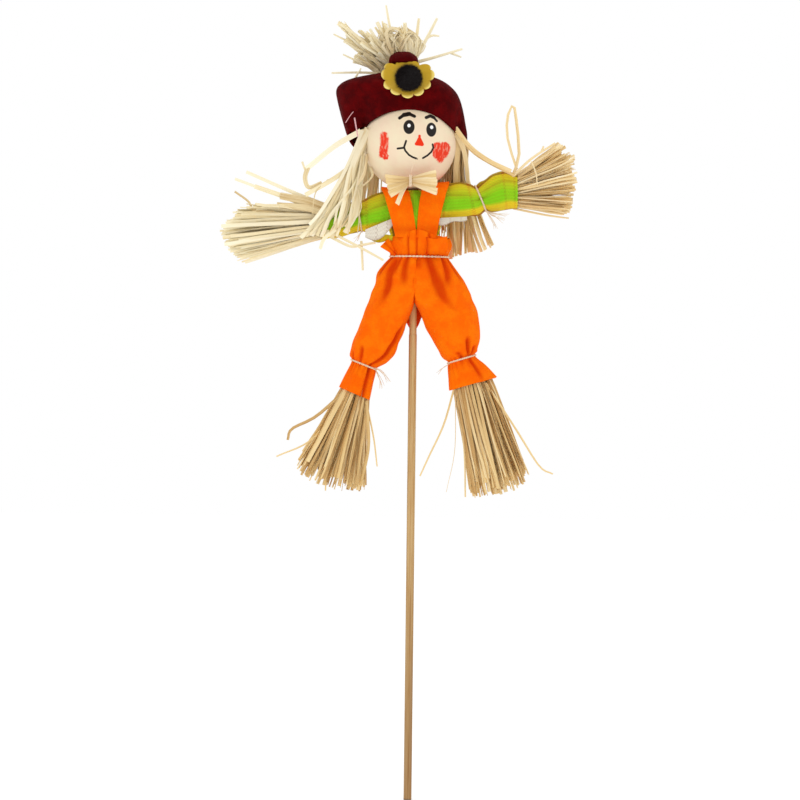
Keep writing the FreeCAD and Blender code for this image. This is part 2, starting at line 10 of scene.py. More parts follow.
import bmesh
import bpy
from mathutils import Matrix, Vector, noise
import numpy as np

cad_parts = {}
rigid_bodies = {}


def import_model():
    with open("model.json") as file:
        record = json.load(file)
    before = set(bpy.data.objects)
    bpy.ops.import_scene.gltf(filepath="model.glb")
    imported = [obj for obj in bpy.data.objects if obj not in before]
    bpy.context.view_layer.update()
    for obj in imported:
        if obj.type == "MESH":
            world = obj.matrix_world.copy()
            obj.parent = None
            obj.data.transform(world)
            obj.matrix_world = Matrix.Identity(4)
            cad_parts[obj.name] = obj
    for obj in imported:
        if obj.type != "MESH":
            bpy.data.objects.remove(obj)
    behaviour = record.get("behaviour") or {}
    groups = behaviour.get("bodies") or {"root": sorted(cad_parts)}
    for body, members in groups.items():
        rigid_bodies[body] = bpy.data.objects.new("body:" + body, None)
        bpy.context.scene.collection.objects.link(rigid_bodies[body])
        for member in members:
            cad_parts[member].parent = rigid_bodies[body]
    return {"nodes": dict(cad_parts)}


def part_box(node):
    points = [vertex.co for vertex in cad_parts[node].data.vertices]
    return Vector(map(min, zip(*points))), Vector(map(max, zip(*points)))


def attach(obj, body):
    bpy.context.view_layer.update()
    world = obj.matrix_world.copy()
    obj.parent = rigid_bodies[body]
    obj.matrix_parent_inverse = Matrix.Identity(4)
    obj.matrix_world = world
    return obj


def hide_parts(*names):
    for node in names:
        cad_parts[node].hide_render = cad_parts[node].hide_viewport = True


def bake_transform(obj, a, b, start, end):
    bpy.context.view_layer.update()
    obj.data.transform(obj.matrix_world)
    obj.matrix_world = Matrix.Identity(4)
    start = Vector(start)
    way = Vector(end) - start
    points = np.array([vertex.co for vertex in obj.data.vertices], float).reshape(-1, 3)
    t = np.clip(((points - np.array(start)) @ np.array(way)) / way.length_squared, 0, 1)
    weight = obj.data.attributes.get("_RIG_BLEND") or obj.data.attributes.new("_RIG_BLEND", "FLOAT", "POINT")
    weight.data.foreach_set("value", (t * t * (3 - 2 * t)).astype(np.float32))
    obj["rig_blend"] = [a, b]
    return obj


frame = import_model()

LOG = logging.getLogger("scarecrow")
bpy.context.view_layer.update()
MM = 0.001
TAU = 2 * math.pi
NOISE_SEED = 7

Colour = tuple[float, float, float, float]
Point = tuple[float, float]


class Body(Enum):
    """The bodies of the frame that a piece can ride on."""

    ROOT = "root"
    HEAD = "head"
    ARM_LEFT = "arm_left"
    ARM_RIGHT = "arm_right"
    LEG_LEFT = "leg_left"
    LEG_RIGHT = "leg_right"


class Side(Enum):
    """The figure's own left, towards +X, and right, towards -X."""

    LEFT = 1
    RIGHT = -1

    @property
    def word(self) -> str:
        """Name of the side as the nodes spell it."""
        return self.name.lower()

    @property
    def arm(self) -> Body:
        """Body of this side's arm."""
        return Body[f"ARM_{self.name}"]

    @property
    def leg(self) -> Body:
        """Body of this side's leg."""
        return Body[f"LEG_{self.name}"]


# ---- sizes and small mathematics -----------------------------------------------------------

def srgb(red: int, green: int, blue: int) -> Colour:
    """Turn a colour of 0 to 255 per channel into a linear one.

    Args:
        red: Red channel.
        green: Green channel.
        blue: Blue channel.

    Returns:
        The linear colour with full alpha.
    """
    def linear(channel: int) -> float:
        """One channel's linear share."""
        share = channel / 255
        return share / 12.92 if share <= 0.04045 else ((share + 0.055) / 1.055) ** 2.4

    return (linear(red), linear(green), linear(blue), 1.0)


def mm(x: float, y: float, z: float) -> Vector:
    """Vector from millimetres."""
    return Vector((x, y, z)) * MM


def smooth(low: float, high: float, value: float) -> float:
    """Smooth step from 0 at low to 1 at high."""
    share = min(1.0, max(0.0, (value - low) / (high - low)))
    return share * share * (3 - 2 * share)


def bump(value: float, centre: float, width: float) -> float:
    """Bell of height 1 around a centre."""
    return math.exp(-((value - centre) / width) ** 2)


def along(knots: Sequence[tuple[float, ...]], where: float) -> tuple[float, ...]:
    """Read a smooth profile: each knot is its place followed by its values.

    Args:
        knots: Places in rising order, each with the same number of values.
        where: The place to read.

    Returns:
        The values there, held level past both ends.
    """
    if where <= knots[0][0]:
        return knots[0][1:]
    for i in range(len(knots) - 1):
        here, there = knots[i], knots[i + 1]
        if where <= there[0]:
            before = knots[max(i - 1, 0)]
            after = knots[min(i + 2, len(knots) - 1)]
            span = there[0] - here[0]
            share = (where - here[0]) / span
            out = []
            for k in range(1, len(here)):
                rise = (there[k] - before[k]) / max(there[0] - before[0], 1e-9) * span
                fall = (after[k] - here[k]) / max(after[0] - here[0], 1e-9) * span
                a, b = 2 * share ** 3 - 3 * share ** 2 + 1, share ** 3 - 2 * share ** 2 + share
                c, d = 3 * share ** 2 - 2 * share ** 3, share ** 3 - share ** 2
                out.append(a * here[k] + b * rise + c * there[k] + d * fall)
            return tuple(out)
    return knots[-1][1:]


def centre(node: str) -> Vector:
    """Middle of a CAD node's box."""
    low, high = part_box(node)
    return (Vector(low) + Vector(high)) / 2


def span(node: str) -> Vector:
    """Size of a CAD node's box."""
    low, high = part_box(node)
    return Vector(high) - Vector(low)


# ---- nodes ---------------------------------------------------------------------------------

class Tree:
    """Thin helper that adds and links the nodes of one tree."""

    def __init__(self, tree: bpy.types.NodeTree) -> None:
        """Work on a node tree."""
        self.tree = tree

    def add(self, kind: str, inputs: dict | None = None, **settings) -> bpy.types.Node:
        """Add a node.

        Args:
            kind: The node's type.
            inputs: Values or sockets for its inputs, by name or number.
            **settings: The node's own properties.

        Returns:
            The new node.
        """
        node = self.tree.nodes.new(kind)
        for name, value in settings.items():
            setattr(node, name, value)
        self.fill(node, inputs or {})
        return node

    def fill(self, node: bpy.types.Node, inputs: dict) -> None:
        """Feed several inputs of a node, by name or number."""
        for name, value in inputs.items():
            self.feed(node.inputs[name], value)

    def feed(self, socket: bpy.types.NodeSocket, value: object) -> None:
        """Link a socket to an input, or set the input's own value."""
        if isinstance(value, bpy.types.NodeSocket):
            self.tree.links.new(value, socket)
        else:
            socket.default_value = value

    def math(self, operation: str, a: object, b: object = 0.0, clamp: bool = False) -> object:
        """Result of one scalar operation."""
        node = self.add("ShaderNodeMath", {0: a, 1: b}, operation=operation, use_clamp=clamp)
        return node.outputs[0]

    def vector(self, operation: str, a: object, b: object = (0.0, 0.0, 0.0)) -> object:
        """Result of one vector operation; a length or dot product gives its number."""
        node = self.add("ShaderNodeVectorMath", {0: a, 1: b}, operation=operation)
        return node.outputs["Value" if operation in ("LENGTH", "DOT_PRODUCT") else "Vector"]

    def scaled(self, vector: object, factor: object) -> object:
        """Vector times a number."""
        node = self.add("ShaderNodeVectorMath", {0: vector, "Scale": factor}, operation="SCALE")
        return node.outputs[0]

    def spot(self) -> object:
        """Place on the piece, in its own metres."""
        return self.add("ShaderNodeTexCoord").outputs["Object"]

    def chart(self) -> object:
        """Place on the piece's UV map."""
        return self.add("ShaderNodeUVMap", uv_map="UVMap").outputs[0]

    def mark(self, name: str) -> object:
        """Value of an attribute of the mesh."""
        return self.add("ShaderNodeAttribute", attribute_name=name).outputs["Fac"]

    def use(self, made: bpy.types.NodeTree, **inputs: object) -> object:
        """Outputs of a node group whose inputs are given by name."""
        return self.add("ShaderNodeGroup", inputs, node_tree=made).outputs

    def mix(self, share: object, a: object, b: object, blend: str = "MIX") -> object:
        """Colour between a and b."""
        node = self.add("ShaderNodeMix", data_type="RGBA", blend_type=blend)
        self.feed(node.inputs[0], share)
        self.feed(node.inputs[6], a)
        self.feed(node.inputs[7], b)
        return node.outputs[2]

    def ramp(self, share: object, stops: Sequence[tuple[float, Colour]],
             steps: bool = False) -> object:
        """Colour ramp through stops, smooth or in steps."""
        node = self.add("ShaderNodeValToRGB", {0: share})
        band = node.color_ramp
        band.interpolation = "CONSTANT" if steps else "LINEAR"
        while len(band.elements) < len(stops):
            band.elements.new(1.0)
        for element, (place, colour) in zip(band.elements, stops):
            element.position = place
            element.color = colour
        return node.outputs[0]

    def level(self, value: object, low: float, high: float, to_low: float = 0.0,
              to_high: float = 1.0) -> object:
        """Value mapped smoothly from one range to another and held at its ends."""
        node = self.add("ShaderNodeMapRange", {0: value, 1: low, 2: high, 3: to_low, 4: to_high},
                        interpolation_type="SMOOTHSTEP")
        return node.outputs[0]

    def noise(self, vector: object, scale: float, detail: float = 3.0,
              rough: float = 0.55) -> object:
        """Fractal noise value."""
        node = self.add("ShaderNodeTexNoise",
                        {"Vector": vector, "Scale": scale, "Detail": detail, "Roughness": rough})
        return node.outputs[0]


def group(name: str, inputs: Sequence[tuple[str, str, object]],
          outputs: Sequence[tuple[str, str]],
          fill: Callable[[Tree, dict], dict]) -> bpy.types.NodeTree:
    """Build a shader node group once and return it from then on.

    Args:
        name: The group's name.
        inputs: Name, socket type and default of each input.
        outputs: Name and socket type of each output.
        fill: Makes the nodes from the inputs' sockets and returns the outputs' sockets.

    Returns:
        The group.
    """
    made = bpy.data.node_groups.get(name)
    if made:
        return made
    made = bpy.data.node_groups.new(name, "ShaderNodeTree")
    for label, kind, value in inputs:
        socket = made.interface.new_socket(label, in_out="INPUT", socket_type=kind)
        socket.default_value = value
    for label, kind in outputs:
        made.interface.new_socket(label, in_out="OUTPUT", socket_type=kind)
    tree = Tree(made)
    source = tree.add("NodeGroupInput")
    result = tree.add("NodeGroupOutput")
    values = fill(tree, {label: source.outputs[label] for label, _, _ in inputs})
    for label, socket in values.items():
        tree.feed(result.inputs[label], socket)
    return made


FLOAT, VECTOR = "NodeSocketFloat", "NodeSocketVector"


def fibre_group() -> bpy.types.NodeTree:
    """Matted fibres: a broad blotch mask, a fine fibre mask and a height."""
    def fill(tree: Tree, given: dict) -> dict:
        """Nodes between the group's inputs and outputs."""
        place = tree.scaled(given["Vector"], given["Scale"])
        warp = tree.add("ShaderNodeTexNoise", {"Vector": place, "Scale": 3.0, "Detail": 2.0})
        bent = tree.vector("ADD", place, warp.outputs[1])
        fine = tree.noise(bent, 11.0, 4.0, 0.7)
        blotch = tree.noise(place, 1.1, 3.0, 0.6)
        height = tree.math("ADD", tree.math("MULTIPLY", fine, 0.7),
                           tree.math("MULTIPLY", blotch, 0.6))
        return {"Blotch": tree.level(blotch, 0.35, 0.68), "Fibre": tree.level(fine, 0.35, 0.65),
                "Height": height}

    return group("matted_fibres", [("Vector", VECTOR, (0, 0, 0)), ("Scale", FLOAT, 100.0)],
                 [("Blotch", FLOAT), ("Fibre", FLOAT), ("Height", FLOAT)], fill)


def streak_group() -> bpy.types.NodeTree:
    """Long fine streaks that follow a strand: UV in metres along and a share around."""
    def fill(tree: Tree, given: dict) -> dict:
        """Nodes between the group's inputs and outputs."""
        scale = tree.add("ShaderNodeCombineXYZ", {0: given["Along"], 1: given["Around"], 2: 0.0})
        place = tree.vector("MULTIPLY", given["UV"], scale.outputs[0])
        shift = tree.add("ShaderNodeCombineXYZ", {2: given["Seed"]})
        place = tree.vector("ADD", place, shift.outputs[0])
        fine = tree.noise(place, 1.0, 4.0, 0.65)
        broad = tree.noise(tree.vector("MULTIPLY", place, (0.4, 0.3, 1.0)), 1.0, 2.0, 0.5)
        return {"Streak": tree.level(fine, 0.32, 0.7), "Patch": tree.level(broad, 0.35, 0.65),
                "Height": fine}

    return group("strand_streaks",
                 [("UV", VECTOR, (0, 0, 0)), ("Along", FLOAT, 60.0), ("Around", FLOAT, 9.0),
                  ("Seed", FLOAT, 0.0)],
                 [("Streak", FLOAT), ("Patch", FLOAT), ("Height", FLOAT)], fill)


def weave_group() -> bpy.types.NodeTree:
    """Plain weave: crossing threads at a count per metre, as a mask and a height."""
    def fill(tree: Tree, given: dict) -> dict:
        """Nodes between the group's inputs and outputs."""
        place = tree.scaled(given["UV"], tree.math("MULTIPLY", given["Threads"], math.pi))
        parts = tree.add("ShaderNodeSeparateXYZ", {0: place})
        warp = tree.math("ABSOLUTE", tree.math("SINE", parts.outputs[0]))
        weft = tree.math("ABSOLUTE", tree.math("SINE", parts.outputs[1]))
        over = tree.math("MULTIPLY", tree.math("SINE", parts.outputs[0]),
                         tree.math("SINE", parts.outputs[1]))
        choice = tree.math("GREATER_THAN", over, 0.0)
        height = tree.math("ADD", tree.math("MULTIPLY", warp, choice),
                           tree.math("MULTIPLY", weft, tree.math("SUBTRACT", 1.0, choice)))
        return {"Over": choice, "Height": height}

    return group("plain_weave", [("UV", VECTOR, (0, 0, 0)), ("Threads", FLOAT, 1500.0)],
                 [("Over", FLOAT), ("Height", FLOAT)], fill)


def stroke_group() -> bpy.types.NodeTree:
    """Brush stroke from A to B in the X-Z plane, as a soft-edged mask."""
    def fill(tree: Tree, given: dict) -> dict:
        """Nodes between the group's inputs and outputs."""
        flat = tree.vector("MULTIPLY", given["Point"], (1.0, 0.0, 1.0))
        run = tree.vector("SUBTRACT", given["B"], given["A"])
        reach = tree.vector("SUBTRACT", flat, given["A"])
        share = tree.math("DIVIDE", tree.vector("DOT_PRODUCT", reach, run),
                          tree.math("ADD", tree.vector("DOT_PRODUCT", run, run), 1e-9), clamp=True)
        foot = tree.scaled(run, share)
        gap = tree.vector("LENGTH", tree.vector("SUBTRACT", reach, foot))
        edge = tree.math("SUBTRACT", gap, given["Radius"])
        inside = tree.math("DIVIDE", tree.math("SUBTRACT", given["Soft"], edge), given["Soft"],
                           clamp=True)
        return {"Mask": inside}

    return group("brush_stroke",
                 [("Point", VECTOR, (0, 0, 0)), ("A", VECTOR, (0, 0, 0)), ("B", VECTOR, (0, 0, 0)),
                  ("Radius", FLOAT, 0.001), ("Soft", FLOAT, 0.0002)], [("Mask", FLOAT)], fill)


class Finish:
    """Base of every finish: makes its material once, under its own name."""

    name: str

    def material(self) -> bpy.types.Material:
        """Return the finish's material, made on first use."""
        made = bpy.data.materials.get(self.name)
        if made:
            return made
        made = bpy.data.materials.new(self.name)
        made.use_nodes = True
        tree = Tree(made.node_tree)
        shader = made.node_tree.nodes["Principled BSDF"]
        self.paint(tree, shader)
        return made

    def paint(self, tree: Tree, shader: bpy.types.Node) -> None:
        """Make the nodes that feed the shader."""
        raise NotImplementedError

    @staticmethod
    def relief(tree: Tree, shader: bpy.types.Node, height: object, strength: float,
               depth: float) -> None:
        """Feed a height to the shader's normal."""
        node = tree.add("ShaderNodeBump", {"Height": height, "Strength": strength,
                                           "Distance": depth})
        tree.feed(shader.inputs["Normal"], node.outputs[0])


@dataclass(frozen=True)
class Felt(Finish):
    """Craft felt: matted fibres, blotchy dye and a soft nap."""

    name: str
    colour: Colour
    shade: Colour
    lit: Colour
    nap: float = 0.25

    def paint(self, tree: Tree, shader: bpy.types.Node) -> None:
        """Make the nodes that feed the shader."""
        fibres = tree.use(fibre_group(), Vector=tree.spot(), Scale=110.0)
        crease = tree.mark("crease")
        dyed = tree.mix(fibres["Blotch"], self.colour, self.lit)
        dyed = tree.mix(tree.math("MULTIPLY", fibres["Fibre"], 0.22), dyed, self.shade)
        # Painted shade: folds, gathers and tucks darkened towards the shade colour by the per-point fold
        # share.
        dyed = tree.mix(tree.math("MULTIPLY", crease, 0.75), dyed, self.shade)
        tree.feed(shader.inputs["Base Color"], dyed)
        tree.fill(shader, {"Roughness": 0.95, "Specular IOR Level": 0.06, "Sheen Weight": self.nap,
                           "Sheen Roughness": 0.5, "Sheen Tint": self.lit})
        self.relief(tree, shader, fibres["Height"], 0.6, 0.0006)


@dataclass(frozen=True)
class Straw(Finish):
    """Dry raffia: each strand has its own tone, streaked along its length."""

    name: str
    pale: Colour
    middle: Colour
    deep: Colour

    def paint(self, tree: Tree, shader: bpy.types.Node) -> None:
        """Make the nodes that feed the shader."""
        tone = tree.mark("tint")
        streaks = tree.use(streak_group(), UV=tree.chart(), Along=55.0, Around=14.0,
                           Seed=tree.math("MULTIPLY", tone, 37.0))
        share = tree.math("ADD", tree.math("MULTIPLY", tone, 0.75),
                          tree.math("MULTIPLY", streaks["Streak"], 0.25))
        share = tree.math("SUBTRACT", share, tree.math("MULTIPLY", streaks["Patch"], 0.12),
                          clamp=True)
        base = tree.ramp(share, [(0.0, self.deep), (0.42, self.middle), (1.0, self.pale)])
        root = tree.mark("shade")
        base = tree.mix(tree.math("MULTIPLY", root, 0.7), base, self.deep)
        tree.feed(shader.inputs["Base Color"], base)
        tree.feed(shader.inputs["Roughness"], tree.level(streaks["Streak"], 0.0, 1.0, 0.72, 0.5))
        tree.fill(shader, {"Specular IOR Level": 0.3})
        self.relief(tree, shader, streaks["Height"], 0.5, 0.0003)


@dataclass(frozen=True)
class Thread(Finish):
    """Spun string or thread."""

    name: str
    colour: Colour
    shade: Colour

    def paint(self, tree: Tree, shader: bpy.types.Node) -> None:
        """Make the nodes that feed the shader."""
        streaks = tree.use(streak_group(), UV=tree.chart(), Along=700.0, Around=6.0)
        tree.feed(shader.inputs["Base Color"],
                  tree.mix(streaks["Streak"], self.shade, self.colour))
        tree.fill(shader, {"Roughness": 0.85, "Sheen Weight": 0.2})
        self.relief(tree, shader, streaks["Height"], 0.4, 0.0002)


@dataclass(frozen=True)
class Plaid(Finish):
    """Woven plaid cotton: colour bands across it and fainter ones along it."""

    name: str
    green: Colour = srgb(132, 204, 20)
    yellow: Colour = srgb(236, 200, 36)
    brown: Colour = srgb(150, 70, 18)
    lime: Colour = srgb(190, 198, 30)
    ochre: Colour = srgb(206, 160, 40)
    repeat: float = 0.030

    def paint(self, tree: Tree, shader: bpy.types.Node) -> None:
        """Make the nodes that feed the shader."""
        uv = tree.chart()
        parts = tree.add("ShaderNodeSeparateXYZ", {0: uv})
        ripple = tree.math("MULTIPLY", tree.math("SUBTRACT", tree.noise(uv, 60.0, 2.0), 0.5), 0.002)
        across = tree.math("ADD", parts.outputs[1], ripple)
        band = tree.math("FRACT", tree.math("DIVIDE", across, self.repeat))
        base = tree.ramp(band, [
            (0.0, self.brown), (0.06, self.ochre), (0.17, self.brown), (0.20, self.yellow),
            (0.38, self.lime), (0.52, self.green), (0.66, self.green), (0.73, self.yellow),
            (0.92, self.yellow), (0.96, self.brown)])
        warp = tree.math("FRACT", tree.math("DIVIDE", parts.outputs[0], self.repeat * 0.8))
        stripe = tree.ramp(warp, [(0.0, self.green), (0.30, self.brown), (0.37, self.lime),
                                  (0.62, self.brown), (0.68, self.green)], steps=True)
        weave = tree.use(weave_group(), UV=uv, Threads=1100.0)
        base = tree.mix(tree.math("MULTIPLY", weave["Over"], 0.34), base, stripe)
        line = tree.math("FRACT", tree.math("MULTIPLY", parts.outputs[1], 620.0))
        base = tree.mix(tree.level(line, 0.6, 0.95, 0.0, 0.16), base, self.brown)
        crease = tree.mark("crease")
        # Painted shade: the plaid darkened towards its brown band colour along its folds.
        base = tree.mix(tree.math("MULTIPLY", crease, 0.6), base, self.brown)
        tree.feed(shader.inputs["Base Color"], base)
        tree.fill(shader, {"Roughness": 0.9, "Specular IOR Level": 0.2})
        self.relief(tree, shader, weave["Height"], 0.5, 0.0004)


@dataclass(frozen=True)
class Dowel(Finish):
    """Plain pale dowel with long grain, browner towards its lower end."""

    name: str
    pale: Colour = srgb(200, 166, 112)
    grain: Colour = srgb(176, 132, 74)
    dark: Colour = srgb(126, 84, 42)
    height: float = 0.42

    def paint(self, tree: Tree, shader: bpy.types.Node) -> None:
        """Make the nodes that feed the shader."""
        spot = tree.spot()
        fine = tree.noise(tree.vector("MULTIPLY", spot, (1300.0, 1300.0, 26.0)), 1.0, 5.0, 0.6)
        rings = tree.noise(tree.vector("MULTIPLY", spot, (380.0, 380.0, 7.0)), 1.0, 2.0, 0.5)
        rise = tree.add("ShaderNodeSeparateXYZ", {0: spot}).outputs[2]
        low = tree.level(rise, 0.0, self.height * 0.5, 1.0, 0.0)
        base = tree.mix(tree.level(fine, 0.38, 0.66), self.pale, self.grain)
        base = tree.mix(tree.level(rings, 0.5, 0.68, 0.0, 0.45), base, self.dark)
        base = tree.mix(tree.math("MULTIPLY", low, 0.55), base, self.dark)
        # Painted shade: the last 1.2 mm at the foot, where the stick stands on the floor, darkened nearly to
        # black.
        base = tree.mix(tree.level(rise, 0.0, 0.0012, 0.8, 0.0), base, srgb(40, 26, 16))
        tree.feed(shader.inputs["Base Color"], base)
        tree.feed(shader.inputs["Roughness"], tree.level(fine, 0.3, 0.7, 0.55, 0.75))
        self.relief(tree, shader, fine, 0.35, 0.0003)


@dataclass(frozen=True)
class Stroke:
    """One brush stroke on the face, in millimetres from the ball's centre."""

    start: Point
    end: Point
    width: float
    soft: float = 0.18


INK = srgb(22, 12, 8)
RED = srgb(232, 48, 8)
WHITE = srgb(250, 250, 248)


@dataclass(frozen=True)
class PaintedFace(Finish):
    """Cream stretched cloth with the painted brows, eyes, nose, mouth and cheeks."""

    name: str
    middle: tuple[float, float, float]
    cloth: Colour = srgb(238, 222, 190)
    blush: Colour = srgb(240, 206, 182)
    drop: float = 1.9

    def masks(self, tree: Tree, point: object, strokes: Iterable[Stroke]) -> object:
        """Greatest mask of several strokes."""
        found = None
        for stroke in strokes:
            mask = tree.use(
                stroke_group(), Point=point, A=mm(stroke.start[0], 0, stroke.start[1]),
                B=mm(stroke.end[0], 0, stroke.end[1]), Radius=stroke.width / 2 * MM,
                Soft=stroke.soft * MM)["Mask"]
            found = mask if found is None else tree.math("MAXIMUM", found, mask)
        return found

    def oval(self, tree: Tree, point: object, middle: Point, size: Point, soft: float) -> object:
        """Mask of an upright oval."""
        away = tree.vector("SUBTRACT", point, mm(middle[0], 0, middle[1]))
        scaled = tree.vector("MULTIPLY", away, (1 / (size[0] * MM), 0.0, 1 / (size[1] * MM)))
        return tree.level(tree.vector("LENGTH", scaled), 1.0, 1.0 - soft)

    def paint(self, tree: Tree, shader: bpy.types.Node) -> None:
        """Make the nodes that feed the shader."""
        spot = tree.spot()
        point = tree.vector("SUBTRACT", spot, self.middle)
        point = tree.vector("ADD", point, mm(0, 0, self.drop))
        depth = tree.add("ShaderNodeSeparateXYZ", {0: point}).outputs[1]
        front = tree.math("LESS_THAN", depth, 0.0)
        wobble = tree.add("ShaderNodeTexNoise", {"Vector": point, "Scale": 900.0, "Detail": 3.0})
        shaken = tree.vector("SUBTRACT", wobble.outputs[1], (0.5, 0.5, 0.5))
        rough = tree.vector("ADD", point, tree.vector("MULTIPLY", shaken, (0.0016, 0.0, 0.0024)))
        mottle = tree.noise(point, 90.0, 3.0)
        flat = tree.add("ShaderNodeSeparateXYZ", {0: point})
        facing = tree.add("ShaderNodeCombineXYZ", {0: flat.outputs[0], 1: flat.outputs[2]})
        weave = tree.use(weave_group(), UV=facing.outputs[0], Threads=1900.0)
        skin = tree.mix(tree.level(mottle, 0.3, 0.75, 0.0, 0.5), self.cloth, self.blush)
        # Painted shade: the lower right of the ball, as seen from in front, turned a greyer pink.
        low = tree.math("SUBTRACT", tree.vector("DOT_PRODUCT", point, (0.5, 0.0, -0.85)), 0.006)
        skin = tree.mix(tree.level(low, 0.0, 0.024, 0.0, 0.45), skin, srgb(236, 190, 168))
        skin = tree.mix(tree.math("MULTIPLY", weave["Over"], 0.05), skin, srgb(200, 176, 140))
        cheeks = self.masks(tree, rough, FACE_CHEEKS)
        dabs = tree.noise(tree.vector("MULTIPLY", point, (700.0, 700.0, 260.0)), 1.0, 3.0)
        dry = tree.level(dabs, 0.25, 0.5, 0.45, 1.0)
        paint = tree.math("MULTIPLY", tree.math("MULTIPLY", cheeks, front), dry)
        skin = tree.mix(paint, skin, RED)
        nose = self.masks(tree, point, FACE_NOSE)
        skin = tree.mix(tree.math("MULTIPLY", nose, front), skin, RED)
        ink = self.masks(tree, point, FACE_LINES)
        for middle, size, _ in FACE_EYES:
            ink = tree.math("MAXIMUM", ink, self.oval(tree, point, middle, size, 0.09))
        skin = tree.mix(tree.math("MULTIPLY", ink, front), skin, INK)
        for _, _, glint in FACE_EYES:
            shine = tree.math("MULTIPLY", self.oval(tree, point, glint, (1.15, 1.3), 0.25), front)
            skin = tree.mix(shine, skin, WHITE)
        tree.feed(shader.inputs["Base Color"], skin)
        gloss = tree.level(tree.math("MAXIMUM", ink, cheeks), 0.0, 1.0, 0.82, 0.45)
        tree.feed(shader.inputs["Roughness"], gloss)
        tree.fill(shader, {"Specular IOR Level": 0.25})
        self.relief(tree, shader, weave["Height"], 0.18, 0.0003)


# Painted features, in millimetres from the ball's centre, as seen from in front.
FACE_EYES = (
    ((-0.7, 10.7), (3.65, 4.7), (-0.7, 11.6)),
    ((13.2, 9.4), (3.3, 4.7), (13.4, 10.9)),
)
FACE_LINES = (
    Stroke((-6.6, 16.4), (-3.9, 18.4), 1.9), Stroke((-3.9, 18.4), (-0.6, 19.1), 2.6),
    Stroke((-0.6, 19.1), (2.6, 17.6), 1.9),
    Stroke((10.0, 17.0), (12.4, 18.2), 1.9), Stroke((12.4, 18.2), (14.8, 17.2), 1.9),
    Stroke((14.8, 17.2), (16.6, 15.1), 1.3),
    Stroke((-7.6, -2.8), (-3.6, -2.3), 1.1), Stroke((-2.4, 1.9), (-3.6, -1.9), 1.1),
    Stroke((-3.6, -1.9), (-2.9, -4.0), 1.0), Stroke((-2.9, -4.0), (-0.6, -6.6), 1.0),
    Stroke((-0.6, -6.6), (1.8, -8.0), 1.0), Stroke((1.8, -8.0), (4.5, -8.9), 1.0),
    Stroke((8.2, -8.4), (11.0, -6.7), 1.0), Stroke((11.0, -6.7), (13.4, -4.4), 1.0),
    Stroke((13.4, -4.4), (14.6, -1.8), 1.0), Stroke((14.6, -1.8), (14.1, 0.2), 1.0),
)
FACE_NOSE = (
    Stroke((5.9, 5.2), (5.9, 2.6), 1.4), Stroke((5.6, 3.4), (4.1, 0.3), 1.6),
    Stroke((6.1, 3.4), (7.8, 0.0), 1.6), Stroke((4.0, 0.2), (7.6, -0.1), 1.9),
    Stroke((5.5, 1.6), (6.1, 1.4), 2.8),
)
FACE_CHEEKS = (
    Stroke((-16.2, 5.6), (-16.0, -2.0), 3.6, 1.0), Stroke((-16.4, -2.5), (-16.6, -6.0), 4.6, 0.6),
    Stroke((-15.6, -6.6), (-15.2, -7.6), 3.6, 0.5), Stroke((-14.4, 3.4), (-14.8, -3.4), 1.6, 0.8),
    Stroke((17.4, -1.6), (17.6, -5.4), 6.2, 0.8), Stroke((21.8, -1.2), (20.6, -4.6), 6.0, 0.8),
    Stroke((19.0, -7.0), (19.0, -8.2), 4.0, 0.8),
)


@dataclass(frozen=True)
class Petal(Finish):
    """Gold felt, paler towards its rim, with painted shade round the pompom."""

    name: str
    gold: Colour = srgb(206, 166, 22)
    edge: Colour = srgb(244, 220, 116)
    # Darker gold for the painted shade round the pompom.
    heart: Colour = srgb(96, 70, 14)

    def paint(self, tree: Tree, shader: bpy.types.Node) -> None:
        """Make the nodes that feed the shader."""
        fibres = tree.use(fibre_group(), Vector=tree.spot(), Scale=220.0)
        rim = tree.mark("rim")
        base = tree.mix(tree.math("MULTIPLY", fibres["Fibre"], 0.4), self.gold,
                        srgb(170, 128, 14))
        base = tree.mix(tree.level(rim, 0.86, 1.0), base, self.edge)
        # Painted shade: darker gold under and round the pompom that rests on the disc.
        base = tree.mix(tree.level(rim, 0.62, 0.3), base, self.heart)
        tree.feed(shader.inputs["Base Color"], base)
        tree.fill(shader, {"Roughness": 0.92, "Sheen Weight": 0.2})
        self.relief(tree, shader, fibres["Height"], 0.6, 0.0005)


@dataclass(frozen=True)
class Foam(Finish):
    """White craft foam: small closed cells."""

    name: str
    colour: Colour = srgb(238, 236, 230)

    def paint(self, tree: Tree, shader: bpy.types.Node) -> None:
        """Make the nodes that feed the shader."""
        spot = tree.spot()
        cells = tree.add("ShaderNodeTexVoronoi", {"Vector": spot, "Scale": 700.0})
        tree.feed(shader.inputs["Base Color"],
                  tree.mix(tree.level(cells.outputs[0], 0.0, 0.5), srgb(206, 204, 198),
                           self.colour))
        tree.fill(shader, {"Roughness": 0.8})
        self.relief(tree, shader, cells.outputs[0], 0.4, 0.0004)


@dataclass(frozen=True)
class Wool(Finish):
    """Fuzzy pompom yarn, a little lighter at the fibre's tip."""

    name: str
    colour: Colour = srgb(26, 18, 18)
    tip: Colour = srgb(62, 50, 46)

    def paint(self, tree: Tree, shader: bpy.types.Node) -> None:
        """Make the nodes that feed the shader."""
        tone = tree.mark("tint")
        spot = tree.spot()
        fuzz = tree.noise(spot, 900.0, 3.0)
        tree.feed(shader.inputs["Base Color"],
                  tree.mix(tree.math("MULTIPLY", tone, fuzz), self.colour, self.tip))
        tree.fill(shader, {"Roughness": 1.0, "Specular IOR Level": 0.1, "Sheen Weight": 0.12})


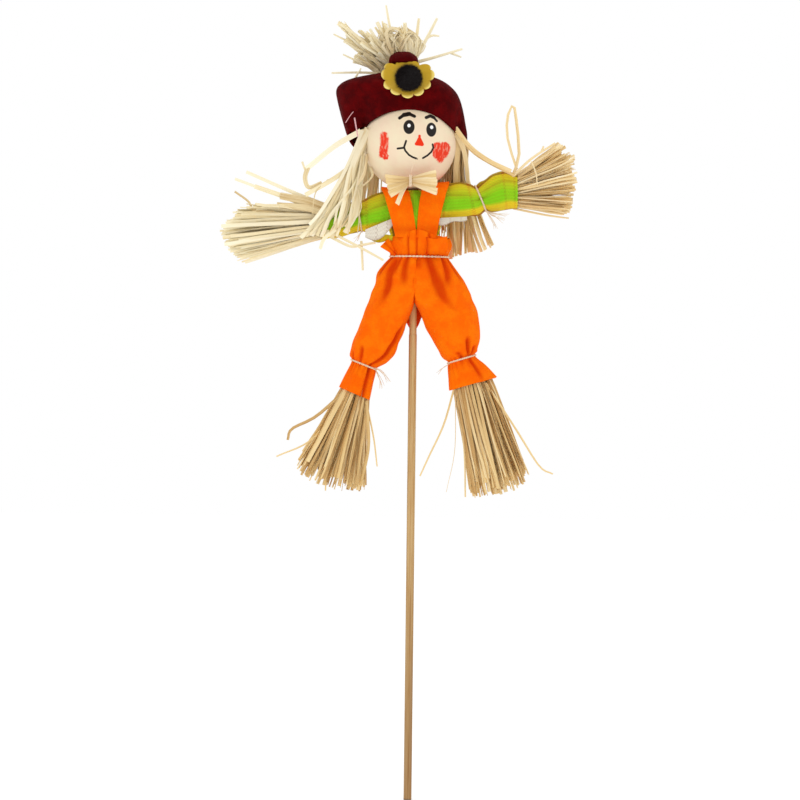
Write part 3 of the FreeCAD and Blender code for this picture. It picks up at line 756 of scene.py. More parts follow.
@dataclass(frozen=True)
class Backdrop(Finish):
    """Plain pale paper under and behind the figure."""

    name: str
    colour: Colour = srgb(250, 250, 250)
    glow: float = 0.12

    def paint(self, tree: Tree, shader: bpy.types.Node) -> None:
        """Make the nodes that feed the shader."""
        spot = tree.spot()
        tree.feed(shader.inputs["Base Color"],
                  tree.mix(tree.level(tree.noise(spot, 6.0), 0.3, 0.7, 0.0, 0.4), self.colour,
                           srgb(246, 246, 246)))
        tree.fill(shader, {"Roughness": 1.0, "Specular IOR Level": 0.0,
                           "Emission Color": (*self.colour[:3], 1.0),
                           "Emission Strength": self.glow})


ORANGE = Felt("felt_orange", srgb(255, 106, 2), srgb(200, 34, 0), srgb(255, 122, 4), 0.02)
MAROON = Felt("felt_maroon", srgb(70, 1, 3), srgb(34, 0, 3), srgb(96, 2, 4), 0.0)
CREAM_RAFFIA = Straw("cream_raffia", srgb(255, 250, 226), srgb(244, 228, 184), srgb(182, 140, 72))
TAN_RAFFIA = Straw("tan_raffia", srgb(255, 240, 200), srgb(234, 202, 140), srgb(168, 116, 50))
WOOD = Dowel("dowel_wood")
COTTON = Thread("cotton_string", srgb(250, 232, 204), srgb(206, 176, 138))
PINK_THREAD = Thread("pink_thread", srgb(240, 190, 190), srgb(200, 140, 146))
PLAID = Plaid("plaid_cotton")
PLAID_BACK = Plaid("plaid_reverse", srgb(214, 208, 196), srgb(232, 224, 206), srgb(150, 120, 100),
                   srgb(222, 216, 200))
GOLD = Petal("gold_felt")
FOAM = Foam("white_foam")
BLACK_WOOL = Wool("black_wool")
PAPER = Backdrop("pale_paper")


# ---- making meshes -------------------------------------------------------------------------

def finished(thing: bpy.types.Object) -> bpy.types.Object:
    """Turn an object and its modifiers into a plain mesh object."""
    depsgraph = bpy.context.evaluated_depsgraph_get()
    mesh = bpy.data.meshes.new_from_object(thing.evaluated_get(depsgraph))
    mesh.name = thing.name
    thing.modifiers.clear()
    thing.data = mesh
    return thing


def linked(name: str, mesh: bpy.types.Mesh) -> bpy.types.Object:
    """Make an object for a mesh and link it to the scene."""
    thing = bpy.data.objects.new(name, mesh)
    bpy.context.scene.collection.objects.link(thing)
    return thing


@dataclass
class Cloth:
    """A grid of points, wrapped round into a tube or left open, given a thickness.

    The first argument of its functions runs from 0 to 1 along the rows and the second from
    0 to 1 across the columns.
    """

    name: str
    rows: int
    columns: int
    place: Callable[[float, float], Vector]
    finish: Finish
    wall: float = 0.0011
    wrapped: bool = True
    capped: tuple[bool, bool] = (False, False)
    flat: Callable[[float, float], Point] | None = None
    # Share of painted shade at each point, which the felt and plaid finishes darken along folds, gathers and
    # tucks.
    crease: Callable[[float, float], float] | None = None
    lining: Finish | None = None

    def build(self) -> bpy.types.Object:
        """Make the mesh.

        Returns:
            The finished object, with its material.
        """
        mesh = bmesh.new()
        # Layer for the share of painted shade along the folds.
        fold = mesh.verts.layers.float.new("crease")
        chart = mesh.loops.layers.uv.new("UVMap")
        across = self.columns if self.wrapped else self.columns + 1
        grid, shares = [], {}
        for i in range(self.rows + 1):
            line = []
            for j in range(across):
                share = (i / self.rows, j / self.columns)
                vertex = mesh.verts.new(self.place(*share))
                vertex[fold] = self.crease(*share) if self.crease else 0.0
                line.append(vertex)
            grid.append(line)
        for i in range(self.rows):
            for j in range(self.columns):
                corners = [(i, j), (i, j + 1), (i + 1, j + 1), (i + 1, j)]
                face = mesh.faces.new([grid[a][b % across] for a, b in corners])
                face.smooth = True
                for loop, (a, b) in zip(face.loops, corners):
                    share = (a / self.rows, b / self.columns)
                    loop[chart].uv = self.flat(*share) if self.flat else share
        for line, wanted in ((grid[0], self.capped[0]), (grid[-1], self.capped[1])):
            if wanted:
                mesh.faces.new(line).smooth = True
        bmesh.ops.remove_doubles(mesh, verts=mesh.verts, dist=1e-7)
        bmesh.ops.recalc_face_normals(mesh, faces=mesh.faces)
        data = bpy.data.meshes.new(self.name)
        mesh.to_mesh(data)
        mesh.free()
        data.materials.append(self.finish.material())
        thing = linked(self.name, data)
        if self.lining:
            data.materials.append(self.lining.material())
        if self.wall:
            solid = thing.modifiers.new("wall", "SOLIDIFY")
            solid.thickness = self.wall
            solid.offset = -1.0
            if self.lining:
                solid.material_offset = 1
            finished(thing)
        thing.data.set_sharp_from_angle(angle=math.radians(50))
        return thing


@dataclass
class Strand:
    """One strip of straw or thread along a smooth line through a few points."""

    knots: Sequence[Vector]
    width: float
    tint: float = 0.7
    turn: float = 0.0
    twist: float = 0.0
    tip: float = 0.8
    shade: float = 0.0
    bend: float = 0.0
    seed: float = 0.0

    def line(self, count: int) -> list[Vector]:
        """Points of the strand, evenly shared between its knots."""
        knots = [(float(i), *p) for i, p in enumerate(self.knots)]
        last = len(knots) - 1
        points = []
        for i in range(count):
            share = i / (count - 1)
            point = Vector(along(knots, share * last))
            sway = noise.noise_vector(Vector((self.seed * 7.3, share * 2.6, self.seed * 3.1)))
            points.append(point + sway * self.bend * share)
        return points


def strip_tree() -> bpy.types.NodeTree:
    """Geometry node tree that turns guide lines into folded strips or round threads."""
    made = bpy.data.node_groups.get("strips_on_guides")
    if made:
        return made
    made = bpy.data.node_groups.new("strips_on_guides", "GeometryNodeTree")
    face = made.interface
    face.new_socket("Geometry", in_out="INPUT", socket_type="NodeSocketGeometry")
    for label, kind, value in (("Sides", "NodeSocketInt", 6), ("Flatness", FLOAT, 0.25),
                               ("Fold", FLOAT, 0.3)):
        face.new_socket(label, in_out="INPUT", socket_type=kind).default_value = value
    face.new_socket("Material", in_out="INPUT", socket_type="NodeSocketMaterial")
    face.new_socket("Geometry", in_out="OUTPUT", socket_type="NodeSocketGeometry")
    tree = Tree(made)
    given = tree.add("NodeGroupInput").outputs
    curve = tree.add("GeometryNodeMeshToCurve", {0: given["Geometry"]}).outputs[0]
    read = tree.add("GeometryNodeInputNamedAttribute", {"Name": "tilt"}, data_type="FLOAT")
    curve = tree.add("GeometryNodeSetCurveTilt",
                     {"Curve": curve, "Tilt": read.outputs[0]}).outputs[0]
    way = tree.add("GeometryNodeSplineParameter")
    curve = tree.add("GeometryNodeStoreNamedAttribute",
                     {"Geometry": curve, "Name": "along", "Value": way.outputs["Length"]},
                     data_type="FLOAT", domain="POINT").outputs[0]
    ring = tree.add("GeometryNodeCurvePrimitiveCircle",
                    {"Resolution": given["Sides"], "Radius": 0.5}).outputs[0]
    spot = tree.add("GeometryNodeInputPosition").outputs[0]
    parts = tree.add("ShaderNodeSeparateXYZ", {0: spot})
    square = tree.math("MULTIPLY", parts.outputs[0], parts.outputs[0])
    rise = tree.math("ADD", tree.math("MULTIPLY", parts.outputs[1], given["Flatness"]),
                     tree.math("MULTIPLY", square, given["Fold"]))
    bent = tree.add("ShaderNodeCombineXYZ", {0: parts.outputs[0], 1: rise}).outputs[0]
    ring = tree.add("GeometryNodeSetPosition", {"Geometry": ring, "Position": bent}).outputs[0]
    doubled = tree.math("MULTIPLY", way.outputs["Factor"], 2.0)
    side = tree.math("ABSOLUTE", tree.math("SUBTRACT", doubled, 1.0))
    ring = tree.add("GeometryNodeStoreNamedAttribute",
                    {"Geometry": ring, "Name": "around", "Value": side},
                    data_type="FLOAT", domain="POINT").outputs[0]
    width = tree.add("GeometryNodeInputNamedAttribute", {"Name": "width"}, data_type="FLOAT")
    body = tree.add("GeometryNodeCurveToMesh", {"Curve": curve, "Profile Curve": ring,
                                                "Scale": width.outputs[0], "Fill Caps": True})
    values = [tree.add("GeometryNodeInputNamedAttribute", {"Name": label}, data_type="FLOAT")
              for label in ("along", "around")]
    chart = tree.add("ShaderNodeCombineXYZ", {0: values[0].outputs[0], 1: values[1].outputs[0]})
    body = tree.add("GeometryNodeStoreNamedAttribute",
                    {"Geometry": body.outputs[0], "Name": "UVMap", "Value": chart.outputs[0]},
                    data_type="FLOAT2", domain="CORNER").outputs[0]
    body = tree.add("GeometryNodeRealizeInstances", {0: body}).outputs[0]
    body = tree.add("GeometryNodeSetMaterial", {"Geometry": body, "Material": given["Material"]})
    result = tree.add("NodeGroupOutput")
    tree.feed(result.inputs["Geometry"], body.outputs[0])
    return made


def run_tree(thing: bpy.types.Object, tree: bpy.types.NodeTree, **inputs: object) -> None:
    """Add a geometry node tree to an object, set its inputs and make the result plain.

    Args:
        thing: The object.
        tree: The tree.
        **inputs: Values by input name.
    """
    step = thing.modifiers.new("nodes", "NODES")
    step.node_group = tree
    for item in tree.interface.items_tree:
        if item.item_type == "SOCKET" and item.in_out == "INPUT" and item.name in inputs:
            step[item.identifier] = inputs[item.name]
    finished(thing)


def strips(name: str, strands: Sequence[Strand], finish: Finish, points: int = 12, sides: int = 6,
           flatness: float = 0.24, fold: float = 0.35) -> bpy.types.Object:
    """Make one piece of many strips.

    Args:
        name: The piece's name.
        strands: The strips.
        finish: Their finish.
        points: Points along each strip.
        sides: Sides of the strip's section.
        flatness: Thickness as a share of the width.
        fold: How far the strip is folded along its middle.

    Returns:
        The finished object.
    """
    places, edges = [], []
    marks = {"width": [], "tilt": [], "tint": [], "shade": []}
    for strand in strands:
        base = len(places)
        places += strand.line(points)
        edges += [(base + i, base + i + 1) for i in range(points - 1)]
        for i in range(points):
            share = i / (points - 1)
            marks["width"].append(strand.width * (1 + (strand.tip - 1) * share))
            marks["tilt"].append(strand.turn + strand.twist * share)
            marks["tint"].append(strand.tint)
            marks["shade"].append(strand.shade * (1 - share))
    mesh = bpy.data.meshes.new(name)
    mesh.from_pydata(places, edges, [])
    for label, values in marks.items():
        mesh.attributes.new(label, "FLOAT", "POINT").data.foreach_set("value", values)
    thing = linked(name, mesh)
    run_tree(thing, strip_tree(), Sides=sides, Flatness=flatness, Fold=fold,
             Material=finish.material())
    thing.data.shade_smooth()
    if sides <= 6:
        thing.data.set_sharp_from_angle(angle=math.radians(55))
    return thing


FACING = math.pi / 2


@dataclass
class Spray:
    """Strands tied at one place that fan out to a line of tips."""

    tie: Vector
    mouth: tuple[Vector, Vector]
    tips: Sequence[Vector]
    count: int
    deep: tuple[float, float]
    width: tuple[float, float]
    tint: tuple[float, float]
    seed: int
    bend: float = 0.0022
    uneven: float = 0.14

    def strands(self) -> list[Strand]:
        """Strands of the spray, the same each time."""
        draw = random.Random(self.seed)
        knots = [(float(i), *p) for i, p in enumerate(self.tips)]
        made = []
        for i in range(self.count):
            share = min(1.0, max(0.0, (i + draw.random()) / self.count))
            depth = draw.uniform(-1, 1)
            inside = math.sqrt(max(0.0, 1 - (2 * share - 1) ** 2))
            start = self.mouth[0].lerp(self.mouth[1], 0.5 + (share - 0.5) * 0.94)
            start = start + Vector((0, depth * self.deep[0] * max(inside, 0.25), 0))
            spread = min(1.0, max(0.0, share + draw.gauss(0, 0.045)))
            tip = Vector(along(knots, spread * (len(knots) - 1)))
            tip = tip + Vector((0, depth * self.deep[1], 0))
            tip = start + (tip - start) * draw.uniform(1 - self.uneven, 1.03)
            root = self.tie.lerp(start, 0.25)
            middle = start.lerp(tip, 0.55) + Vector((0, draw.uniform(-1, 1), 0)) * self.bend * 0.5
            made.append(Strand(
                [root, start, middle, tip], draw.uniform(*self.width), draw.uniform(*self.tint),
                draw.uniform(0, math.pi), draw.uniform(-1.2, 1.2), draw.uniform(0.55, 1.0), 0.5,
                self.bend * draw.uniform(0.3, 1.3), draw.uniform(0, 100)))
        return made


def line_of(*points: tuple[float, float, float]) -> list[Vector]:
    """Vectors from points in millimetres."""
    return [mm(*point) for point in points]


def twine(name: str, middle: Vector, wide: Vector, deep: Vector, finish: Finish,
          thick: float = 0.0013, ends: Sequence[Sequence[Vector]] = ()) -> bpy.types.Object:
    """Two-ply string tied round an oval neck, with the tails of its knot.

    Args:
        name: The piece's name.
        middle: Centre of the oval.
        wide: Half axis of the oval from its centre.
        deep: The other half axis.
        finish: The string's finish.
        thick: Diameter of the string.
        ends: Lines of the tails.

    Returns:
        The finished object.
    """
    count = 90
    normal = wide.cross(deep).normalized()
    plies = []
    for ply in range(2):
        knots = []
        for i in range(count + 1):
            angle = TAU * i / count
            out = (wide * math.cos(angle) + deep * math.sin(angle))
            lay = angle * 24 + math.pi * ply
            shift = out.normalized() * math.cos(lay) + normal * math.sin(lay)
            knots.append(middle + out + shift * thick * 0.24)
        plies.append(Strand(knots, thick * 0.56, 0.8, tip=1.0))
    draw = random.Random(len(name))
    for tail in ends:
        for _ in range(5):
            spread = [p + Vector([draw.uniform(-1, 1) * 0.0016 * k / max(len(tail) - 1, 1)
                                  for _ in range(3)]) for k, p in enumerate(tail)]
            plies.append(Strand(spread, thick * 0.3, 0.8, tip=0.5))
    return strips(name, plies, finish, count + 1, 6, 1.0, 0.0)


def settle(piece: bpy.types.Object, body: Body, slot: str, *nodes: str) -> bpy.types.Object:
    """Let a piece ride on a body and hide the nodes that it stands for."""
    if nodes:
        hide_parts(*nodes)
    if piece.parent is None and "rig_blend" not in piece:
        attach(piece, body.value)
    LOG.info("%s: %d faces on %s", piece.name, len(piece.data.polygons), body.value)
    return piece


def crossing(piece: bpy.types.Object, first: Body, second: Body, start: Vector,
             end: Vector) -> bpy.types.Object:
    """Let a piece bend from one body to another."""
    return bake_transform(piece, first.value, second.value, start=tuple(start), end=tuple(end))


# ---- stick and hidden core -----------------------------------------------------------------

@dataclass
class Core:
    """The dowel and what is tied to it inside the clothes."""

    def build(self) -> None:
        """Dress the CAD nodes that keep their own shape."""
        dressed = {"stick": (WOOD, "wood"), "trunk_raffia": (TAN_RAFFIA, "straw"),
                   "neck_tie": (COTTON, "string"), "head_core": (FOAM, "foam")}
        for node, (finish, slot) in dressed.items():
            thing = frame["nodes"][node]
            thing.data.materials.clear()
            thing.data.materials.append(finish.material())
            LOG.info("%s: CAD shape, new finish", node)


# ---- trousers ------------------------------------------------------------------------------

ANKLE_SHARE = 0.932
# Each row: share, outer x and z, inner x and z, half depth, and how far the two legs are one.
RIGHT_LEG = (
    (0.00, -14.4, 340.7, 0.5, 340.7, 10.8, 1.0), (0.06, -18.8, 336.0, 0.5, 336.5, 12.7, 1.0),
    (0.14, -22.6, 330.4, 0.5, 331.0, 13.8, 1.0), (0.26, -24.8, 322.0, 0.5, 322.5, 14.8, 1.0),
    (0.38, -28.0, 313.0, 0.4, 313.0, 14.6, 0.85), (0.47, -31.2, 304.5, -1.0, 305.5, 13.6, 0.3),
    (0.58, -34.4, 295.5, -4.6, 297.0, 12.8, 0.0), (0.70, -37.3, 287.2, -8.4, 287.0, 12.4, 0.0),
    (0.80, -39.3, 281.3, -11.6, 279.0, 11.8, 0.0), (0.88, -39.6, 278.2, -16.5, 273.8, 10.2, 0.0),
    (0.925, -38.2, 276.1, -22.9, 270.3, 8.4, 0.0), (0.94, -38.4, 274.4, -22.8, 268.6, 8.4, 0.0),
    (0.97, -41.4, 267.5, -24.4, 260.6, 9.6, 0.0), (1.00, -45.4, 258.3, -26.5, 250.6, 10.8, 0.0))
LEFT_LEG = (
    (0.00, 21.4, 340.9, 0.5, 340.7, 10.8, 1.0), (0.06, 24.2, 336.6, 0.5, 336.5, 12.7, 1.0),
    (0.14, 28.6, 330.0, 0.5, 331.0, 13.8, 1.0), (0.26, 33.8, 321.8, 0.5, 322.5, 14.8, 1.0),
    (0.38, 38.2, 312.2, 0.6, 313.0, 14.8, 0.85), (0.47, 40.7, 304.2, 4.4, 305.3, 14.2, 0.3),
    (0.58, 41.9, 295.4, 8.6, 296.2, 13.6, 0.0), (0.70, 41.6, 288.2, 12.6, 287.2, 13.0, 0.0),
    (0.80, 41.0, 284.2, 16.8, 280.4, 12.0, 0.0), (0.88, 40.6, 281.8, 19.6, 276.9, 10.2, 0.0),
    (0.925, 39.2, 280.2, 22.3, 274.8, 8.4, 0.0), (0.94, 39.8, 278.4, 22.0, 273.0, 8.4, 0.0),
    (0.97, 45.4, 273.6, 22.2, 265.4, 9.8, 0.0), (1.00, 52.4, 265.9, 22.8, 257.0, 11.0, 0.0))


@dataclass(frozen=True)
class Fold:
    """A valley in cloth, from one place to another in shares of length and degrees around."""

    start: Point
    end: Point
    depth: float
    width: float = 9.0

    def at(self, t: float, degrees: float) -> float:
        """Depth of the valley at a place."""
        run = self.end[0] - self.start[0]
        share = (t - self.start[0]) / run
        if not -0.15 < share < 1.15:
            return 0.0
        window = smooth(-0.15, 0.2, share) * (1 - smooth(0.6, 1.15, share))
        centre_line = self.start[1] + (self.end[1] - self.start[1]) * min(1.2, max(-0.2, share))
        gap = (degrees - centre_line + 180) % 360 - 180
        return self.depth * window * math.exp(-(gap / self.width) ** 2)


@dataclass
class Trousers:
    """Orange felt trousers, gathered at the waist and tied at both ankles."""

    wall: float = 0.0012
    folds: dict[Side, list[Fold]] = field(init=False)

    def __post_init__(self) -> None:
        """Lay out the folds of both legs."""
        back = [Fold((0.0, 360 - a), (0.3, 360 - a - 6), 1.4, 8) for a in (40, 72, 108, 140)]
        self.folds = {
            Side.RIGHT: [
                Fold((0.02, 48), (0.40, 52), 3.0, 7), Fold((0.0, 75), (0.26, 77), 2.2, 5),
                Fold((0.0, 24), (0.18, 20), 1.8, 7), Fold((0.0, 61), (0.16, 60), 1.4, 4),
                Fold((0.58, 152), (0.96, 112), 3.4, 8), Fold((0.74, 60), (0.94, 74), 1.8, 6),
                Fold((0.80, 28), (0.96, 36), 1.4, 6), Fold((0.93, 118), (1.02, 122), 2.4, 8),
                Fold((0.8, 320), (0.96, 300), 2.0, 8), Fold((0.62, 235), (0.95, 262), 2.4, 9),
                *back],
            Side.LEFT: [
                Fold((0.0, 68), (0.42, 63), 3.0, 6), Fold((0.0, 33), (0.26, 54), 2.4, 6),
                Fold((0.0, 86), (0.12, 86), 1.4, 5), Fold((0.0, 14), (0.2, 20), 1.6, 6),
                Fold((0.66, 62), (0.95, 66), 2.6, 6), Fold((0.76, 40), (0.95, 52), 2.2, 6),
                Fold((0.82, 96), (0.95, 88), 1.6, 6), Fold((0.94, 60), (1.0, 66), 1.8, 7),
                Fold((0.7, 300), (0.96, 290), 2.0, 8), Fold((0.7, 235), (0.95, 255), 2.2, 9),
                *back],
        }

    def half(self, side: Side) -> bpy.types.Object:
        """One leg with its half of the seat."""
        rows = RIGHT_LEG if side is Side.RIGHT else LEFT_LEG
        folds = self.folds[side]
        sign = side.value

        def valley(t: float, around: float) -> float:
            """Depth of the folds and gathers."""
            degrees = around * 360
            deep = sum(fold.at(t, degrees) for fold in folds)
            gather = math.exp(-t / 0.045) + math.exp(-((t - 0.93) / 0.035) ** 2)
            return deep + 0.75 * gather * (0.5 + 0.5 * math.cos(math.radians(degrees * 19)))

        def place(t: float, around: float) -> Vector:
            """Point at a share of the leg's length and a share around."""
            outer_x, outer_z, inner_x, inner_z, deep, one = along(rows, t)
            angle = TAU * around
            inner_x -= sign * 0.3 * one
            middle_share = 0.5 * (1 - one)
            outer, inner = Vector((outer_x, 0, outer_z)), Vector((inner_x, 0, inner_z))
            middle = inner.lerp(outer, middle_share)
            cosine, sine = math.cos(angle), math.sin(angle)
            reach = (outer - middle) if cosine >= 0 else (middle - inner)
            square = 0.86
            wide = math.copysign(abs(cosine) ** square, cosine)
            tall = math.copysign(abs(sine) ** square, sine)
            point = middle + reach * wide + Vector((0, -deep * tall, 0))
            push = Vector((cosine * (outer - inner).normalized()[0],
                           -sine, cosine * (outer - inner).normalized()[2]))
            if cosine < 0:
                push = Vector((push[0] * (1 - one), push[1], push[2] * (1 - one)))
            lump = noise.noise(point * 0.11 + Vector((sign * 9, 0, 0)))
            soft = smooth(0.02, 0.2, t) * (1 - smooth(0.8, 0.93, t))
            ease = 1 - 0.8 * one * smooth(0.15, 0.0, abs(around - 0.5)) * (1 if cosine < 0 else 0)
            point += push * (lump * 1.2 * soft - valley(t, around) * ease * 0.8)
            if t > 0.94:
                point += push * 0.7 * math.sin(angle * 5 + 1) * smooth(0.94, 1.0, t)
            return point * MM

        # Painted shade: each leg darkened in its folds and gathers.
        cloth = Cloth(f"trouser_{side.word}", 110, 108, place, ORANGE, self.wall,
                      flat=lambda t, s: (s * 0.085, t * 0.092),
                      crease=lambda t, s: min(1.0, valley(t, s) / 1.7))
        piece = cloth.build()
        crossing(piece, Body.ROOT, side.leg, mm(0, 0, 330), mm(0, 0, 304))
        nodes = [f"trouser_leg_{side.word}"] + (["trouser_seat"] if side is Side.LEFT else [])
        settle(piece, side.leg, "orange_felt", *nodes)
        return piece

    def back_panel(self) -> None:
        """Cloth that hangs between the legs behind the stick."""
        def place(t: float, s: float) -> Vector:
            """Point of the panel, hung from its top."""
            across = 2 * s - 1
            x = 1.2 + across * (8.5 - 3.5 * t)
            z = 316 - t * (21 - 8 * across * across - 3 * across)
            return mm(x, 8.6 + 2.2 * t + 1.2 * math.sin(3 * s + t), z)

        # Painted shade: the whole panel is darkened, as it hangs in shade between the legs behind the stick.
        piece = Cloth("trouser_back_panel", 12, 16, place, ORANGE, self.wall, False,
                      crease=lambda t, s: 0.85).build()
        settle(piece, Body.ROOT, "orange_felt")

    def frill(self) -> None:
        """Ruffle above the waist string."""
        low = mm(3.4, 0, 340.6)

        def pleat(angle: float) -> float:
            """Pleats round the ruffle."""
            return (math.sin(angle * 9 + 0.7 * math.sin(angle * 2)) * 0.6
                    + math.sin(angle * 5 + 1.1) * 0.4)

        def place(t: float, s: float) -> Vector:
            """Point of the ruffle."""
            angle = TAU * s
            front = max(0.0, -math.sin(angle))
            rise = (15.2 + 1.2 * math.sin(angle * 3 + 0.6)) * (0.72 + 0.28 * front)
            wide = 17.4 + 2.4 * math.sin(math.pi * t * 0.8) - 1.2 * t
            deep = 10.8 + 4.0 * math.sin(math.pi * t * 0.62)
            swell = pleat(angle) * 1.5 * smooth(0.0, 0.7, t)
            tight = 0.5 * math.cos(angle * 26) * (1 - smooth(0.0, 0.3, t))
            reach = 1 + (swell + tight - 1.1 * tuck(s)) / 16
            lip = 0.5 * math.sin(angle * 7) * t
            return low + mm(math.cos(angle) * wide * reach, math.sin(angle) * deep * reach,
                            rise * t + lip)

        def tuck(s: float) -> float:
            """Depth of the narrow tucks."""
            return sum(0.9 * bump(s, at, 0.006) for at in (0.689, 0.735, 0.802, 0.2, 0.27, 0.34))

        # Painted shade where the ruffle is gathered under the string and in its narrow tucks.
        piece = Cloth("waist_ruffle", 22, 220, place, ORANGE, self.wall,
                      crease=lambda t, s: 0.5 * bump(t, 0, 0.15) + tuck(s)).build()
        settle(piece, Body.ROOT, "orange_felt", "waist_frill")

        def flap(t: float, s: float) -> Vector:
            """Point of the corner folded over on the left."""
            x = 7.2 + 13.2 * s + 0.8 * math.sin(t * 3)
            y = -15.6 - 1.9 * math.sin(math.pi * min(1.0, s * 1.15)) * (0.4 + t) + 4.2 * s * s
            return mm(x, y, 342.2 + (10.4 - 1.2 * math.sin(s * 4)) * t)

        # Painted shade along the folded left edge and the foot of the flap.
        piece = Cloth("waist_ruffle_fold", 12, 20, flap, ORANGE, self.wall, False,
                      crease=lambda t, s: 0.9 * bump(s, 0, 0.12) + 0.5 * bump(t, 0, 0.2)).build()
        settle(piece, Body.ROOT, "orange_felt")

        def point(t: float, s: float) -> Vector:
            """Point of the corner that sticks out on the right."""
            x = -11.4 - (9.6 - 5.0 * s) * t
            z = 341.2 + 2.0 * s + (8.6 * s + 5.4 * (1 - s)) * t
            return mm(x, -9.6 - 2.6 * math.sin(2.4 * t) + 1.6 * s, z)

        # Painted shade along the middle fold and the foot of the point.
        piece = Cloth("waist_ruffle_point", 14, 12, point, ORANGE, self.wall, False,
                      crease=lambda t, s: 0.7 * bump(s, 0.5, 0.14) + 0.6 * bump(t, 0, 0.2)).build()
        settle(piece, Body.ROOT, "orange_felt")

    def build(self) -> None:
        """Build the trousers and their strings."""
        for side in Side:
            self.half(side)
        self.back_panel()
        self.frill()
        tie = twine("waist_string", mm(3.4, 0, 340.7), mm(18.4, 0, 0), mm(0, 11.7, 0), COTTON)
        settle(tie, Body.ROOT, "string", "waist_tie")
        tails = {
            Side.RIGHT: [line_of((-24, -4, 271), (-19, -6, 268), (-15, -6, 263)),
                         line_of((-24, -3, 271), (-20, -5, 264), (-19, -5, 259))],
            Side.LEFT: [line_of((23.5, -4, 274), (19.5, -6, 271), (15.6, -6, 268.5))]}
        for side, rows in ((Side.RIGHT, RIGHT_LEG), (Side.LEFT, LEFT_LEG)):
            outer_x, outer_z, inner_x, inner_z, deep, _ = along(rows, ANKLE_SHARE)
            middle = mm((outer_x + inner_x) / 2, 0, (outer_z + inner_z) / 2)
            wide = mm(outer_x, 0, outer_z) - middle
            wide = wide * (1 + 0.0003 / wide.length)
            tie = twine(f"ankle_string_{side.word}", middle, wide, mm(0, deep + 0.2, 0),
                        COTTON, 0.0013, tails[side])
            settle(tie, side.leg, "string", f"ankle_tie_{side.word}")


# ---- shirt ---------------------------------------------------------------------------------

WRIST_SHARE = 0.585
# Each row: share, upper x and z, lower x and z, and half depth.
LEFT_SLEEVE = (
    (0.0, 3.0, 382.0, 3.0, 364.0, 8.8), (0.2, 16.0, 386.2, 16.0, 364.6, 9.6),
    (0.4, 28.0, 387.6, 30.0, 365.6, 9.6), (0.52, 35.0, 386.8, 41.0, 367.4, 9.3),
    (0.575, 37.6, 385.6, 44.6, 369.8, 8.3), (0.595, 38.4, 385.7, 45.2, 370.0, 8.3),
    (0.66, 42.0, 388.6, 48.4, 369.4, 9.2), (0.82, 53.0, 394.8, 56.5, 370.4, 11.4),
    (1.0, 64.2, 392.8, 64.6, 371.6, 11.0))
RIGHT_SLEEVE = (
    (0.0, -3.0, 381.5, -3.0, 362.0, 8.8), (0.2, -14.0, 382.6, -14.0, 358.5, 9.6),
    (0.4, -24.0, 380.0, -24.0, 356.4, 9.6), (0.52, -33.0, 375.8, -31.0, 356.0, 9.2),
    (0.575, -35.6, 373.9, -32.4, 356.6, 8.3), (0.595, -36.4, 373.7, -33.2, 356.4, 8.3),
    (0.66, -39.4, 374.6, -37.0, 355.0, 9.2), (0.82, -48.5, 375.4, -47.0, 352.6, 11.2),
    (1.0, -58.8, 370.6, -57.6, 350.8, 11.0))


